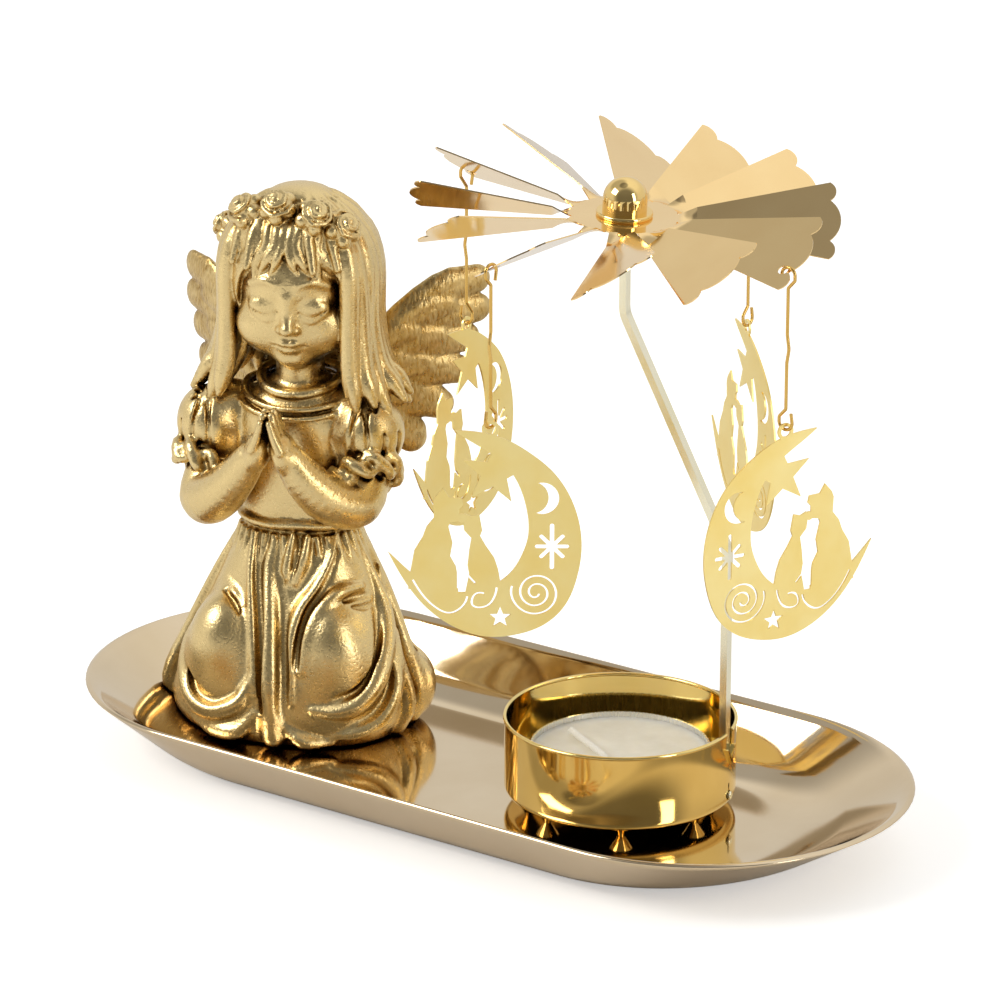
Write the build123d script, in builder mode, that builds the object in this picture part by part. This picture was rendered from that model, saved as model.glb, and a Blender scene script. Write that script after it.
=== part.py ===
from build123d import *
from math import atan2, cos, degrees, radians, sin, sqrt
import os

os.makedirs("parts", exist_ok=True)

# Angel chime carousel. A tealight stands in a cup on an oval tray, and its rising heat turns a bladed
# wheel on a pointed post. Four pierced pendants hang from the wheel on wire hooks. A cast figurine of a
# kneeling child angel stands beside the cup. All lengths are in millimetres. The origin is the middle of
# the tray's underside, +X runs along the tray towards the cup, and +Z is up.

overrun = 1.0                       # how far a cutting shape stands past the face it starts from
seat_gap = 0.05                     # between pieces that are pushed together and don't move

# Tray
tray_length = 198.2
tray_width = 91.8
tray_height = 14.3
tray_sheet = 0.8
tray_cove_radius = 14.0             # of the bend between floor and wall, on the underside
tray_flare_angle = 50               # of the wall along the sides, from the table
tray_floor_shortening = 34.4        # of the floor's straight sides, against the rim's

# Candle cup
hub_end_distance = 71.0             # from the tray's +X end to the axis of the cup and the wheel
hub_y = 8.4
cup_radius = 24.8
cup_sheet = 0.35
cup_wall_height = 17.1              # from the cup's underside to its rim
cup_corner_radius = 1.8
cup_bead_radius = 0.42              # of the curled rim
cup_foot_count = 7
cup_foot_height = 2.6               # how far the dimple feet hold the cup off the tray
cup_foot_circle_radius = 19.8
cup_foot_top_radius = 2.4
cup_foot_tip_radius = 0.7
cup_front_angle = -54.5             # where the first foot stands

# Post
post_angle = 13                     # where the post stands, about the hub
post_width = 2.7
post_depth = 1.5
post_sheet = 0.6
post_foot_height = 5.0              # of the strip's lower end, over the table
post_lower_bend_height = 61.1
post_upper_bend_drop = 20.8         # from the wheel's sheet down to the upper bend
post_shoulder_drop = 4.0            # from the wheel's sheet down to where the point begins
post_bend_radius = 6.0
post_point_radius = 0.95
post_point_taper = 3.4
post_point_gap = 0.15               # between the point and the end of the cap's bore
notch_width = 3.4
notch_depth = 3.6                   # of the notch's straight sides, down from the rim
notch_vee_depth = 2.6
notch_lip_width = 0.6
notch_lip_reach = 0.6
keyhole_radius = 1.15
keyhole_slot_width = 0.6
keyhole_slot_height = 1.6
keyhole_height = 5.9                # of its middle, over the table
tongue_radius = 0.9
tongue_reach = 0.7                  # how far the tongue stands out of the cup

# Tealight
tealight_radius = 19.0
tealight_height = 9.9
tealight_sheet = 0.25
tealight_lip = 0.3
tealight_bottom_radius = 1.0
wax_depth = 8.6
wick_radius = 0.75
wick_root_x = 2.0                   # from the hub
wick_root_y = -7.6
wick_end_x = -13.6
wick_end_y = 1.0
wick_bend_radius = 1.6
sustainer_radius = 6.0
sustainer_sheet = 0.25
sustainer_neck_height = 3.2
sustainer_neck_wall = 0.25

# Wheel
wheel_height = 131.0                # of the middle of the wheel's sheet, over the table
wheel_sheet = 0.3
wheel_lean_angle = 3.8              # of the wheel on its point: it hangs low to one side
wheel_low_angle = -15               # where its low side is, about the hub
wheel_plate_radius = 12.4
wheel_notch_radius = 11.2           # where the slots beside each neck end
blade_count = 12
blade_pitch = 34
blade_rise_angle = 3.8              # of a blade's middle line, from its neck outwards
blade_turn = 1.5                    # of the first blade, about the hub
blade_neck_width = 5.0
blade_neck_end_radius = 15.0
blade_root_width = 6.6
blade_corner_radius = 42.3          # from the hub to the blade's outer corners, along its middle
blade_tip_width = 19.6
blade_tip_reach = 44.7              # from the hub to the crown of the middle lobe
blade_lobe_half_width = 5.2
blade_lobe_notch_reach = 42.4
blade_small_lobe_reach = 43.6
hook_hole_radius = 1.1
hook_hole_reach = 41.0              # from the hub, along the blade
hook_hole_offset = 4.9              # from the blade's middle, towards its lower edge
hook_blades = [0, 3, 6, 9]

# Pivot cap
cap_flange_radius = 5.7
cap_flange_thickness = 1.0
cap_dome_radius = 4.65
cap_height = 8.2                    # from the sheet to the top of the dome
cap_spigot_radius = 2.3
cap_rivet_radius = 2.9
cap_rivet_thickness = 0.5
cap_bore_radius = 1.6
cap_bore_depth = 4.4                # of its straight part, up from the sheet
cap_bore_cone = 1.3

# Wire hooks
wire_radius = 0.35
hook_bow_radius = 1.65              # of the wire's middle, round the bows at both ends
hook_height = 34.5                  # between the middles of the wire at its top and bottom
hook_neck_length = 2.7              # from a bow's widest place to the shank
hook_end_length = 2.0               # of a bow's free end, past its widest place
hook_kink = 0.5
hook_kink_length = 3.0
hook_lift = 0.8                     # of the sheet over the middle of the upper bow

# Pendants
pendant_size = 20.5                 # the scale of the crescent, about half its height
pendant_sheet = 0.4
pendant_ring_radius = 1.8
pendant_ring_hole_radius = 1.1
pendant_ring_gap = 0.35             # between the wire and the ring that hangs on it
pendant_slot_width = 0.45
pendant_angles = [242.7, -36.3, 93.7, 35.7]     # of the moon's round side, about the vertical, blade by blade

# Figurine
figurine_end_distance = 41.2        # from the tray's -X end to the figurine's middle
figurine_y = 6.1
figurine_front_angle = -72          # the way it faces, about the vertical
figurine_height = 122.8
rose_count = 12
hub_x = tray_length / 2 - hub_end_distance
figurine_x = figurine_end_distance - tray_length / 2


def circle_point(radius, angle, height=0.0):
    """A place at a radius and an angle about the hub."""
    return Vector(hub_x + radius * cos(radians(angle)), hub_y + radius * sin(radians(angle)), height)


def upright_plane(origin, angle):
    """A standing plane whose x runs level at an angle about the vertical and whose y is up."""
    level = Vector(cos(radians(angle)), sin(radians(angle)), 0)
    return Plane(origin=origin, x_dir=level, z_dir=level.cross(Vector(0, 0, 1)))


def facing_plane(origin, angle):
    """A standing plane that looks out level at an angle about the vertical, with y up."""
    outward = Vector(cos(radians(angle)), sin(radians(angle)), 0)
    return Plane(origin=origin, x_dir=Vector(0, 0, 1).cross(outward), z_dir=outward)


hub = Vector(hub_x, hub_y, 0)
hub_axis = Axis(hub, (0, 0, 1))
hub_plane = Plane(origin=hub)
post_section = upright_plane(hub, post_angle)

# Tray: one pressed sheet. Its floor turns up through a cove into a flared wall. The floor is a shorter
# stadium than the rim, so the wall climbs more gently round the ends than along the sides.
tray_end_radius = tray_width / 2
tray_straight = tray_length - tray_width
tray_floor_straight = tray_straight - tray_floor_shortening
tray_sine = sin(radians(tray_flare_angle))
tray_cosine = cos(radians(tray_flare_angle))
tray_cove_rise = tray_cove_radius * (1 - tray_cosine)
tray_flare_rise = tray_height - tray_sheet * tray_cosine - tray_cove_rise
tray_flare_run = tray_flare_rise * tray_cosine / tray_sine
tray_floor_radius = tray_end_radius - tray_cove_radius * tray_sine - tray_flare_run
tray_stretch = (tray_straight - tray_floor_straight) / (tray_end_radius - tray_floor_radius)


def tray_level(radius, height):
    """The tray's outline at a height, where its sides stand a distance from the middle."""
    straight = tray_floor_straight + tray_stretch * (radius - tray_floor_radius)
    with BuildSketch(Plane(origin=(0, 0, height))) as level:
        SlotCenterToCenter(straight, radius * 2)
    return level.sketch


def tray_cove_level(radius, turn_share):
    """The tray's outline part of the way up the bend, on the face with the given bend radius."""
    turn = radians(tray_flare_angle * turn_share)
    return tray_level(tray_floor_radius + radius * sin(turn), tray_cove_radius - radius * cos(turn))


def tray_mould(bend_radius, rim_radius, rim_height):
    """The room under one face of the sheet, from the floor to a rim."""
    cove = [tray_cove_level(bend_radius, share) for share in (0, 1 / 3, 2 / 3, 1)]
    loft(sections=cove)
    loft(sections=[cove[-1], tray_level(rim_radius, rim_height)], ruled=True)


with BuildPart() as tray_hollow:
    tray_mould(
        tray_cove_radius - tray_sheet,
        tray_end_radius - tray_sheet / tray_sine + overrun / tray_sine * tray_cosine,
        tray_height + overrun,
    )
with BuildPart() as tray:
    tray_mould(tray_cove_radius, tray_end_radius, tray_height)
    add(tray_hollow.part, mode=Mode.SUBTRACT)
tray.part.label = "tray"

# Candle cup: drawn tinplate with a curled rim. It stands on a ring of pressed dimple feet.
cup_underside = tray_sheet + cup_foot_height + seat_gap / 2
cup_floor = cup_underside + cup_sheet
cup_rim = cup_underside + cup_wall_height
cup_inner_radius = cup_radius - cup_sheet
cup_corner_start = cup_radius - cup_corner_radius
cup_inner_corner = cup_corner_radius - cup_sheet
vee_floor = cup_rim - notch_depth - notch_vee_depth

with BuildPart(hub_plane) as candle_cup:
    with BuildSketch(post_section) as cup_wall:
        with BuildLine():
            Polyline((0, cup_floor), (0, cup_underside), (cup_corner_start, cup_underside))
            RadiusArc(
                (cup_corner_start, cup_underside),
                (cup_radius, cup_underside + cup_corner_radius),
                -cup_corner_radius,
            )
            Polyline(
                (cup_radius, cup_underside + cup_corner_radius),
                (cup_radius, cup_rim),
                (cup_inner_radius, cup_rim),
                (cup_inner_radius, cup_underside + cup_corner_radius),
            )
            RadiusArc(
                (cup_inner_radius, cup_underside + cup_corner_radius),
                (cup_corner_start, cup_floor),
                cup_inner_corner,
            )
            Line((cup_corner_start, cup_floor), (0, cup_floor))
        make_face()
        with Locations((cup_radius - cup_sheet / 2, cup_rim - cup_bead_radius)):
            Circle(cup_bead_radius)
    revolve(axis=hub_axis)
    with Locations((0, 0, cup_underside)):
        with PolarLocations(cup_foot_circle_radius, cup_foot_count, start_angle=cup_front_angle):
            Cone(
                cup_foot_tip_radius, cup_foot_top_radius, cup_foot_height,
                align=(Align.CENTER, Align.CENTER, Align.MAX),
            )
    with Locations((0, 0, cup_floor)):
        with PolarLocations(cup_foot_circle_radius, cup_foot_count, start_angle=cup_front_angle):
            Cone(
                cup_foot_tip_radius - cup_sheet, cup_foot_top_radius, cup_foot_height,
                align=(Align.CENTER, Align.CENTER, Align.MAX), mode=Mode.SUBTRACT,
            )
    wall_plane = facing_plane(circle_point(cup_radius, post_angle), post_angle)
    with BuildSketch(wall_plane) as rim_notch:
        Polygon(
            (-notch_width / 2, cup_rim + overrun),
            (-notch_width / 2, cup_rim - notch_depth),
            (0, vee_floor),
            (notch_width / 2, cup_rim - notch_depth),
            (notch_width / 2, cup_rim + overrun),
            align=None,
        )
    extrude(amount=overrun, both=True, mode=Mode.SUBTRACT)
    with BuildSketch(wall_plane) as keyhole:
        with Locations((0, keyhole_height)):
            Circle(keyhole_radius)
            Rectangle(
                keyhole_slot_width, keyhole_radius + keyhole_slot_height,
                align=(Align.CENTER, Align.MIN),
            )
    extrude(amount=overrun, both=True, mode=Mode.SUBTRACT)
    lip_plane = facing_plane(circle_point(cup_inner_radius, post_angle), post_angle)
    with BuildSketch(lip_plane) as vee_lip:
        Polygon(
            (-notch_width / 2, cup_rim - notch_depth),
            (0, vee_floor),
            (notch_width / 2, cup_rim - notch_depth),
            (notch_width / 2 + notch_lip_width, cup_rim - notch_depth),
            (0, vee_floor - notch_lip_width * 2),
            (-notch_width / 2 - notch_lip_width, cup_rim - notch_depth),
            align=None,
        )
    extrude(amount=cup_sheet + notch_lip_reach)
candle_cup.part.label = "candle_cup"

# Post: a strip pressed into a channel, its back against the cup's wall, bent in over the flame and up
# again to the hub. Its top is pressed to a round point, and a tongue at its foot keys into the cup.
post_seat_radius = cup_inner_radius - seat_gap - post_depth / 2
post_shoulder_height = wheel_height - post_shoulder_drop
pivot_rise = wheel_sheet / 2 + cap_bore_depth + cap_bore_cone
pivot = hub + Vector(0, 0, wheel_height + pivot_rise * cos(radians(wheel_lean_angle)))
point_height = pivot.Z - post_point_gap

with BuildPart() as post:
    with BuildLine(post_section) as post_path:
        FilletPolyline(
            (post_seat_radius, post_foot_height),
            (post_seat_radius, post_lower_bend_height),
            (0, wheel_height - post_upper_bend_drop),
            (0, post_shoulder_height),
            radius=post_bend_radius,
        )
    foot_plane = Plane(
        origin=circle_point(post_seat_radius, post_angle, post_foot_height),
        x_dir=circle_point(1, post_angle) - hub,
        z_dir=(0, 0, 1),
    )
    with BuildSketch(foot_plane) as channel:
        Rectangle(post_depth, post_width)
        with Locations((-post_sheet, 0)):
            Rectangle(post_depth, post_width - post_sheet * 2, mode=Mode.SUBTRACT)
    sweep(path=post_path.wires()[0])
    with BuildSketch(post_section) as point:
        with BuildLine():
            Polyline(
                (0, post_shoulder_height - post_width),
                (post_point_radius, post_shoulder_height - post_width),
                (post_point_radius, point_height - post_point_taper),
                (0, point_height),
                close=True,
            )
        make_face()
    revolve(axis=hub_axis)
    tongue_plane = facing_plane(circle_point(post_seat_radius, post_angle), post_angle)
    with BuildSketch(tongue_plane) as tongue:
        with Locations((0, keyhole_height)):
            Circle(tongue_radius)
    extrude(amount=cup_radius + tongue_reach - post_seat_radius)
    fillet(post.faces().sort_by(Axis(hub, post_section.x_dir))[-1].edges(), tongue_radius / 2)
post.part.label = "post"

# Tealight: a drawn aluminium shell, its wax, and a wick whose foot is held in a pressed disc.
wax_floor = cup_floor + tealight_sheet
wax_top = wax_floor + wax_depth
tealight_rim = cup_floor + tealight_height
shell_inner_radius = tealight_radius - tealight_sheet
shell_corner = tealight_radius - tealight_bottom_radius

with BuildPart() as tealight_shell:
    with BuildSketch(post_section) as shell_wall:
        with BuildLine():
            Polyline((0, wax_floor), (0, cup_floor), (shell_corner, cup_floor))
            RadiusArc(
                (shell_corner, cup_floor),
                (tealight_radius, cup_floor + tealight_bottom_radius),
                -tealight_bottom_radius,
            )
            Polyline(
                (tealight_radius, cup_floor + tealight_bottom_radius),
                (tealight_radius, tealight_rim - tealight_lip * 2),
                (tealight_radius + tealight_lip, tealight_rim - tealight_lip),
                (tealight_radius + tealight_lip / 2, tealight_rim),
                (shell_inner_radius, tealight_rim),
                (shell_inner_radius, cup_floor + tealight_bottom_radius),
            )
            RadiusArc(
                (shell_inner_radius, cup_floor + tealight_bottom_radius),
                (shell_corner, wax_floor),
                tealight_bottom_radius - tealight_sheet,
            )
            Line((shell_corner, wax_floor), (0, wax_floor))
        make_face()
    revolve(axis=hub_axis)
tealight_shell.part.label = "tealight_shell"

wick_root = hub + Vector(wick_root_x, wick_root_y, 0)
wick_end = hub + Vector(wick_end_x, wick_end_y, 0)
wick_level = wick_end - wick_root
wick_rest = wax_top + wick_radius
sustainer_plane = Plane(origin=wick_root + Vector(0, 0, wax_floor))

with BuildPart() as wick_sustainer:
    with BuildSketch(sustainer_plane) as sustainer_disc:
        Circle(sustainer_radius)
    extrude(amount=sustainer_sheet)
    with BuildSketch(sustainer_plane) as sustainer_neck:
        Circle(wick_radius + sustainer_neck_wall)
    extrude(amount=sustainer_neck_height)
    with BuildSketch(sustainer_plane) as sustainer_bore:
        Circle(wick_radius)
    extrude(amount=sustainer_neck_height, mode=Mode.SUBTRACT)
    fillet(
        wick_sustainer.edges().filter_by(GeomType.CIRCLE).group_by(Axis.Z)[0].sort_by(SortBy.RADIUS)[-1:],
        sustainer_sheet / 2,
    )
wick_sustainer.part.label = "wick_sustainer"

with BuildPart() as tealight_wick:
    with BuildLine(Plane.XY) as wick_path:
        FilletPolyline(
            wick_root + Vector(0, 0, wax_floor),
            wick_root + Vector(0, 0, wick_rest),
            wick_end + Vector(0, 0, wick_rest),
            radius=wick_bend_radius,
        )
    with BuildSketch(sustainer_plane) as wick_section:
        Circle(wick_radius)
    sweep(path=wick_path.wires()[0])
tealight_wick.part.label = "tealight_wick"

with BuildPart() as tealight_wax:
    with BuildSketch(Plane(origin=hub + Vector(0, 0, wax_floor))) as wax_section:
        Circle(shell_inner_radius)
    extrude(amount=wax_depth)
    fillet(tealight_wax.edges().group_by(Axis.Z)[0], tealight_bottom_radius - tealight_sheet)
    add(wick_sustainer.part, mode=Mode.SUBTRACT)
    add(tealight_wick.part, mode=Mode.SUBTRACT)
tealight_wax.part.label = "tealight_wax"

# Wheel: one thin sheet. Each blade is cut free but for its neck, and twisted there to its pitch. The
# wheel leans a little on its point, and turns about the upright through it.
wheel_up = Vector(
    sin(radians(wheel_lean_angle)) * cos(radians(wheel_low_angle)),
    sin(radians(wheel_lean_angle)) * sin(radians(wheel_low_angle)),
    cos(radians(wheel_lean_angle)),
)
wheel_middle = pivot - wheel_up * pivot_rise
wheel_plane = Plane(origin=wheel_middle, x_dir=Vector(0, 1, 0).cross(wheel_up), z_dir=wheel_up)
wheel_axis = Axis(wheel_middle, wheel_up)
wheel_section = Plane(
    origin=wheel_middle, x_dir=wheel_plane.x_dir, z_dir=wheel_plane.x_dir.cross(wheel_up)
)


def blade_frame(radius, pitch, rise, angle):
    """A place on a blade's middle line with the ways out along it and across it to its upper edge."""
    level = wheel_plane.x_dir * cos(radians(angle)) + wheel_plane.y_dir * sin(radians(angle))
    outward = level * cos(radians(rise)) + wheel_up * sin(radians(rise))
    across = wheel_up.cross(level) * cos(radians(pitch)) + wheel_up * sin(radians(pitch))
    return wheel_middle + level * radius, outward, across


def blade_plane(angle):
    """The plane of a blade: x runs out along its middle, y across it towards its upper edge."""
    root, outward, across = blade_frame(blade_neck_end_radius, blade_pitch, blade_rise_angle, angle)
    origin = root - outward * blade_neck_end_radius
    return Plane(origin=origin, x_dir=outward, z_dir=outward.cross(across))


def neck_end(radius, width, pitch, rise, angle):
    """The sheet's section across a neck, at a distance from the hub."""
    origin, outward, across = blade_frame(radius, pitch, rise, angle)
    with BuildSketch(Plane(origin=origin, x_dir=across, z_dir=outward)) as section:
        Rectangle(width, wheel_sheet)
    return section.sketch


def blade_outline():
    """A blade from its neck to its scalloped edge: two straight sides, a middle lobe, two corner lobes."""
    half_root = blade_root_width / 2
    half_tip = blade_tip_width / 2
    corner_middle = (blade_lobe_half_width + half_tip) / 2
    with BuildLine() as outline:
        Polyline(
            (blade_corner_radius, -half_tip),
            (blade_neck_end_radius, -half_root),
            (blade_neck_end_radius, half_root),
            (blade_corner_radius, half_tip),
        )
        for side in (1, -1):
            ThreePointArc(
                (blade_corner_radius, side * half_tip),
                (blade_small_lobe_reach, side * corner_middle),
                (blade_lobe_notch_reach, side * blade_lobe_half_width),
            )
        ThreePointArc(
            (blade_lobe_notch_reach, blade_lobe_half_width),
            (blade_tip_reach, 0),
            (blade_lobe_notch_reach, -blade_lobe_half_width),
        )
    make_face(outline.edges())


with BuildPart() as spinner_wheel:
    with BuildSketch(wheel_plane.offset(-wheel_sheet / 2)) as hub_disc:
        Circle(wheel_plate_radius)
        notch_turn = blade_turn + 180 / blade_count
        with PolarLocations(wheel_plate_radius, blade_count, start_angle=notch_turn):
            Circle(wheel_plate_radius - wheel_notch_radius, mode=Mode.SUBTRACT)
        Circle(cap_spigot_radius + seat_gap, mode=Mode.SUBTRACT)
    extrude(amount=wheel_sheet)
    for index in range(blade_count):
        turn = blade_turn + index * 360 / blade_count
        neck_start = neck_end(wheel_notch_radius, blade_neck_width, 0, 0, turn)
        neck_stop = neck_end(blade_neck_end_radius, blade_root_width, blade_pitch, blade_rise_angle, turn)
        loft(sections=[neck_start, neck_stop], ruled=True)
        with BuildSketch(blade_plane(turn).offset(-wheel_sheet / 2)) as blade:
            blade_outline()
            if index in hook_blades:
                with Locations((hook_hole_reach, -hook_hole_offset)):
                    Circle(hook_hole_radius, mode=Mode.SUBTRACT)
        extrude(amount=wheel_sheet)
spinner_wheel.part.label = "spinner_wheel"

# Pivot cap: a turned dome. Its spigot is clenched under the sheet, and its bore ends in the cone that
# rides on the post's point. Its profile's heights are from the middle of the sheet.
sheet_top = wheel_sheet / 2
sheet_bottom = -wheel_sheet / 2
cap_shoulder = sheet_top + cap_height - cap_dome_radius

with BuildPart() as pivot_cap:
    with BuildSketch(wheel_section) as cap_profile:
        with BuildLine():
            Polyline(
                (cap_bore_radius, sheet_bottom - cap_rivet_thickness),
                (cap_rivet_radius, sheet_bottom - cap_rivet_thickness),
                (cap_rivet_radius, sheet_bottom),
                (cap_spigot_radius, sheet_bottom),
                (cap_spigot_radius, sheet_top),
                (cap_flange_radius, sheet_top),
            )
            ThreePointArc(
                (cap_flange_radius, sheet_top),
                (cap_flange_radius + cap_flange_thickness / 4, sheet_top + cap_flange_thickness / 2),
                (cap_flange_radius, sheet_top + cap_flange_thickness),
            )
            Polyline(
                (cap_flange_radius, sheet_top + cap_flange_thickness),
                (cap_dome_radius, sheet_top + cap_flange_thickness),
                (cap_dome_radius, cap_shoulder),
            )
            ThreePointArc(
                (cap_dome_radius, cap_shoulder),
                (cap_dome_radius * sqrt(1 / 2), cap_shoulder + cap_dome_radius * sqrt(1 / 2)),
                (0, sheet_top + cap_height),
            )
            Polyline(
                (0, sheet_top + cap_height),
                (0, sheet_top + cap_bore_depth + cap_bore_cone),
                (cap_bore_radius, sheet_top + cap_bore_depth),
                (cap_bore_radius, sheet_bottom - cap_rivet_thickness),
            )
        make_face()
    revolve(axis=wheel_axis)
pivot_cap.part.label = "pivot_cap"

# Wire hooks: the upper bow goes through a blade's hole and round its edge, the lower bow carries a
# pendant. Both bows stay open, and the shank has the kink that bending leaves.
hook_bow_step = hook_bow_radius - hook_hole_radius / 4
hook_bow_drop = hook_height - hook_bow_radius * 2


def hook_place(blade):
    """The standing plane of the hook in a blade's hole: it starts at the middle of the upper bow."""
    turn = blade_turn + blade * 360 / blade_count
    hole = blade_plane(turn).from_local_coords(Vector(hook_hole_reach, -hook_hole_offset, 0))
    angle = degrees(atan2(hole.Y - hub_y, hole.X - hub_x))
    outward = circle_point(hook_bow_step, angle) - hub
    return upright_plane(hole + outward - Vector(0, 0, hook_lift), angle)


def wire_hook(place):
    """One hook in its standing plane."""
    drop = -hook_bow_drop
    tight = hook_bow_radius * 0.96
    with BuildLine(place) as path:
        FilletPolyline(
            (-hook_bow_radius * 0.8, -hook_end_length),
            (-hook_bow_radius, 0),
            (-hook_bow_radius, hook_bow_radius),
            (hook_bow_radius, hook_bow_radius),
            (hook_bow_radius, -hook_neck_length / 3),
            (0, -hook_neck_length),
            (0, drop / 2 + hook_kink_length),
            (hook_kink, drop / 2),
            (0, drop / 2 - hook_kink_length),
            (0, drop + hook_neck_length),
            (-hook_bow_radius, drop + hook_neck_length / 3),
            (-hook_bow_radius, drop - hook_bow_radius),
            (hook_bow_radius, drop - hook_bow_radius),
            (hook_bow_radius, drop),
            (hook_bow_radius * 0.8, drop + hook_end_length),
            radius=[
                hook_bow_radius, tight, tight, hook_kink, hook_kink, hook_kink_length, hook_kink_length,
                hook_kink_length, hook_kink, hook_kink, tight, tight, hook_bow_radius,
            ],
        )
    wire = path.wires()[0]
    with BuildSketch(Plane(origin=wire @ 0, z_dir=wire % 0)) as section:
        Circle(wire_radius)
    sweep(sections=section.sketch, path=wire)


hook_places = [hook_place(blade) for blade in hook_blades]
with BuildPart() as hook_1:
    wire_hook(hook_places[0])
hook_1.part.label = "hook_1"
with BuildPart() as hook_2:
    wire_hook(hook_places[1])
hook_2.part.label = "hook_2"
with BuildPart() as hook_3:
    wire_hook(hook_places[2])
hook_3.part.label = "hook_3"
with BuildPart() as hook_4:
    wire_hook(hook_places[3])
hook_4.part.label = "hook_4"

# Pendants: etched sheet. A crescent moon with a star under its upper horn and two cats sitting on its
# lower one, pierced along the crescent. The outlines are shares of the pendant's size.
moon_outer_shares = [
    (-0.341, 1.171), (-0.122, 1.156), (0.098, 1.107), (0.395, 0.946), (0.65, 0.728), (0.842, 0.412),
    (0.932, -0.068), (0.888, -0.376), (0.756, -0.693), (0.546, -0.888), (0.239, -0.995), (0.02, -1.012),
    (-0.298, -0.927), (-0.585, -0.732), (-0.793, -0.483), (-0.927, -0.254), (-1.0, -0.107),
]
moon_inner_shares = [
    (-1.0, -0.107), (-0.902, -0.205), (-0.78, -0.322), (-0.5, -0.5), (-0.17, -0.53), (0.117, -0.42),
    (0.244, -0.302), (0.337, -0.137), (0.39, 0.02), (0.402, 0.176), (0.371, 0.395), (0.288, 0.634),
    (0.16, 0.82), (-0.049, 0.98), (-0.341, 1.171),
]
star_centre_share = (0.059, 0.722)
star_radius_share = 0.341
star_notch_share = 0.137
big_cat_shares = [
    (-0.8, -0.5), (-0.776, -0.31), (-0.737, -0.093), (-0.654, 0.049), (-0.615, 0.158), (-0.541, 0.252),
    (-0.549, 0.41), (-0.527, 0.47), (-0.447, 0.565), (-0.389, 0.468), (-0.266, 0.463), (-0.251, 0.39),
    (-0.289, 0.346), (-0.289, 0.221), (-0.38, 0.205), (-0.397, 0.158), (-0.356, -0.014),
    (-0.38, -0.155), (-0.322, -0.264), (-0.3, -0.4), (-0.3, -0.6),
]
small_cat_shares = [
    (-0.24, -0.6), (-0.19, -0.343), (-0.206, -0.249), (-0.19, -0.093), (-0.168, 0.04), (-0.238, 0.12),
    (-0.25, 0.2), (-0.238, 0.299), (-0.17, 0.268), (-0.09, 0.291), (-0.06, 0.12), (-0.082, 0.06),
    (-0.024, -0.045), (0.06, -0.171), (0.1, -0.296), (0.12, -0.42), (0.1, -0.6),
]
kiss_share = (-0.27, 0.25)
kiss_radius_share = 0.045
leg_gap_shares = [(-0.3, -0.33), (-0.3, -0.5)]
paw_gap_shares = [(-0.2, -0.36), (-0.13, -0.44)]
ray_star_share = (0.636, -0.049)
ray_long_share = 0.244
ray_short_share = 0.171
small_star_share = (0.12, -0.805)
small_star_radius_share = 0.117
cut_moon_shares = [(0.49, 0.62), (0.705, 0.462), (0.468, 0.306), (0.6, 0.462)]
spiral_centre_share = (0.478, -0.541)
spiral_start_share = 0.249
spiral_end_share = 0.03
spiral_turns = 2.5
spiral_start_angle = 163
big_tail_shares = [(-0.754, -0.405), (-0.671, -0.546), (-0.521, -0.703), (-0.389, -0.758), (-0.273, -0.703),
                   (-0.21, -0.58)]
small_tail_shares = [(0.084, -0.484), (0.059, -0.594), (-0.024, -0.687), (-0.157, -0.672), (-0.16, -0.61),
                     (-0.04, -0.55)]
ring_share = (0.022, 1.184)


def scaled(shares, size):
    """A list of places given as shares of a size."""
    return [(x * size, y * size) for x, y in shares]


def star_points(radius, notch_radius, points, turn):
    """The corners of a star, tip and notch by turns."""
    corners = []
    for index in range(points * 2):
        reach = radius if index % 2 == 0 else notch_radius
        angle = radians(turn + index * 180 / points)
        corners.append((reach * cos(angle), reach * sin(angle)))
    return corners


def spiral_points(steps_per_turn=8):
    """Places along the pierced spiral, from its open tail to its eye."""
    count = int(spiral_turns * steps_per_turn)
    places = []
    for index in range(count + 1):
        done = index / count
        reach = spiral_start_share + (spiral_end_share - spiral_start_share) * done
        angle = radians(spiral_start_angle + 360 * spiral_turns * done)
        places.append((
            (spiral_centre_share[0] + reach * cos(angle)) * pendant_size,
            (spiral_centre_share[1] + reach * sin(angle)) * pendant_size,
        ))
    return places


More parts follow.
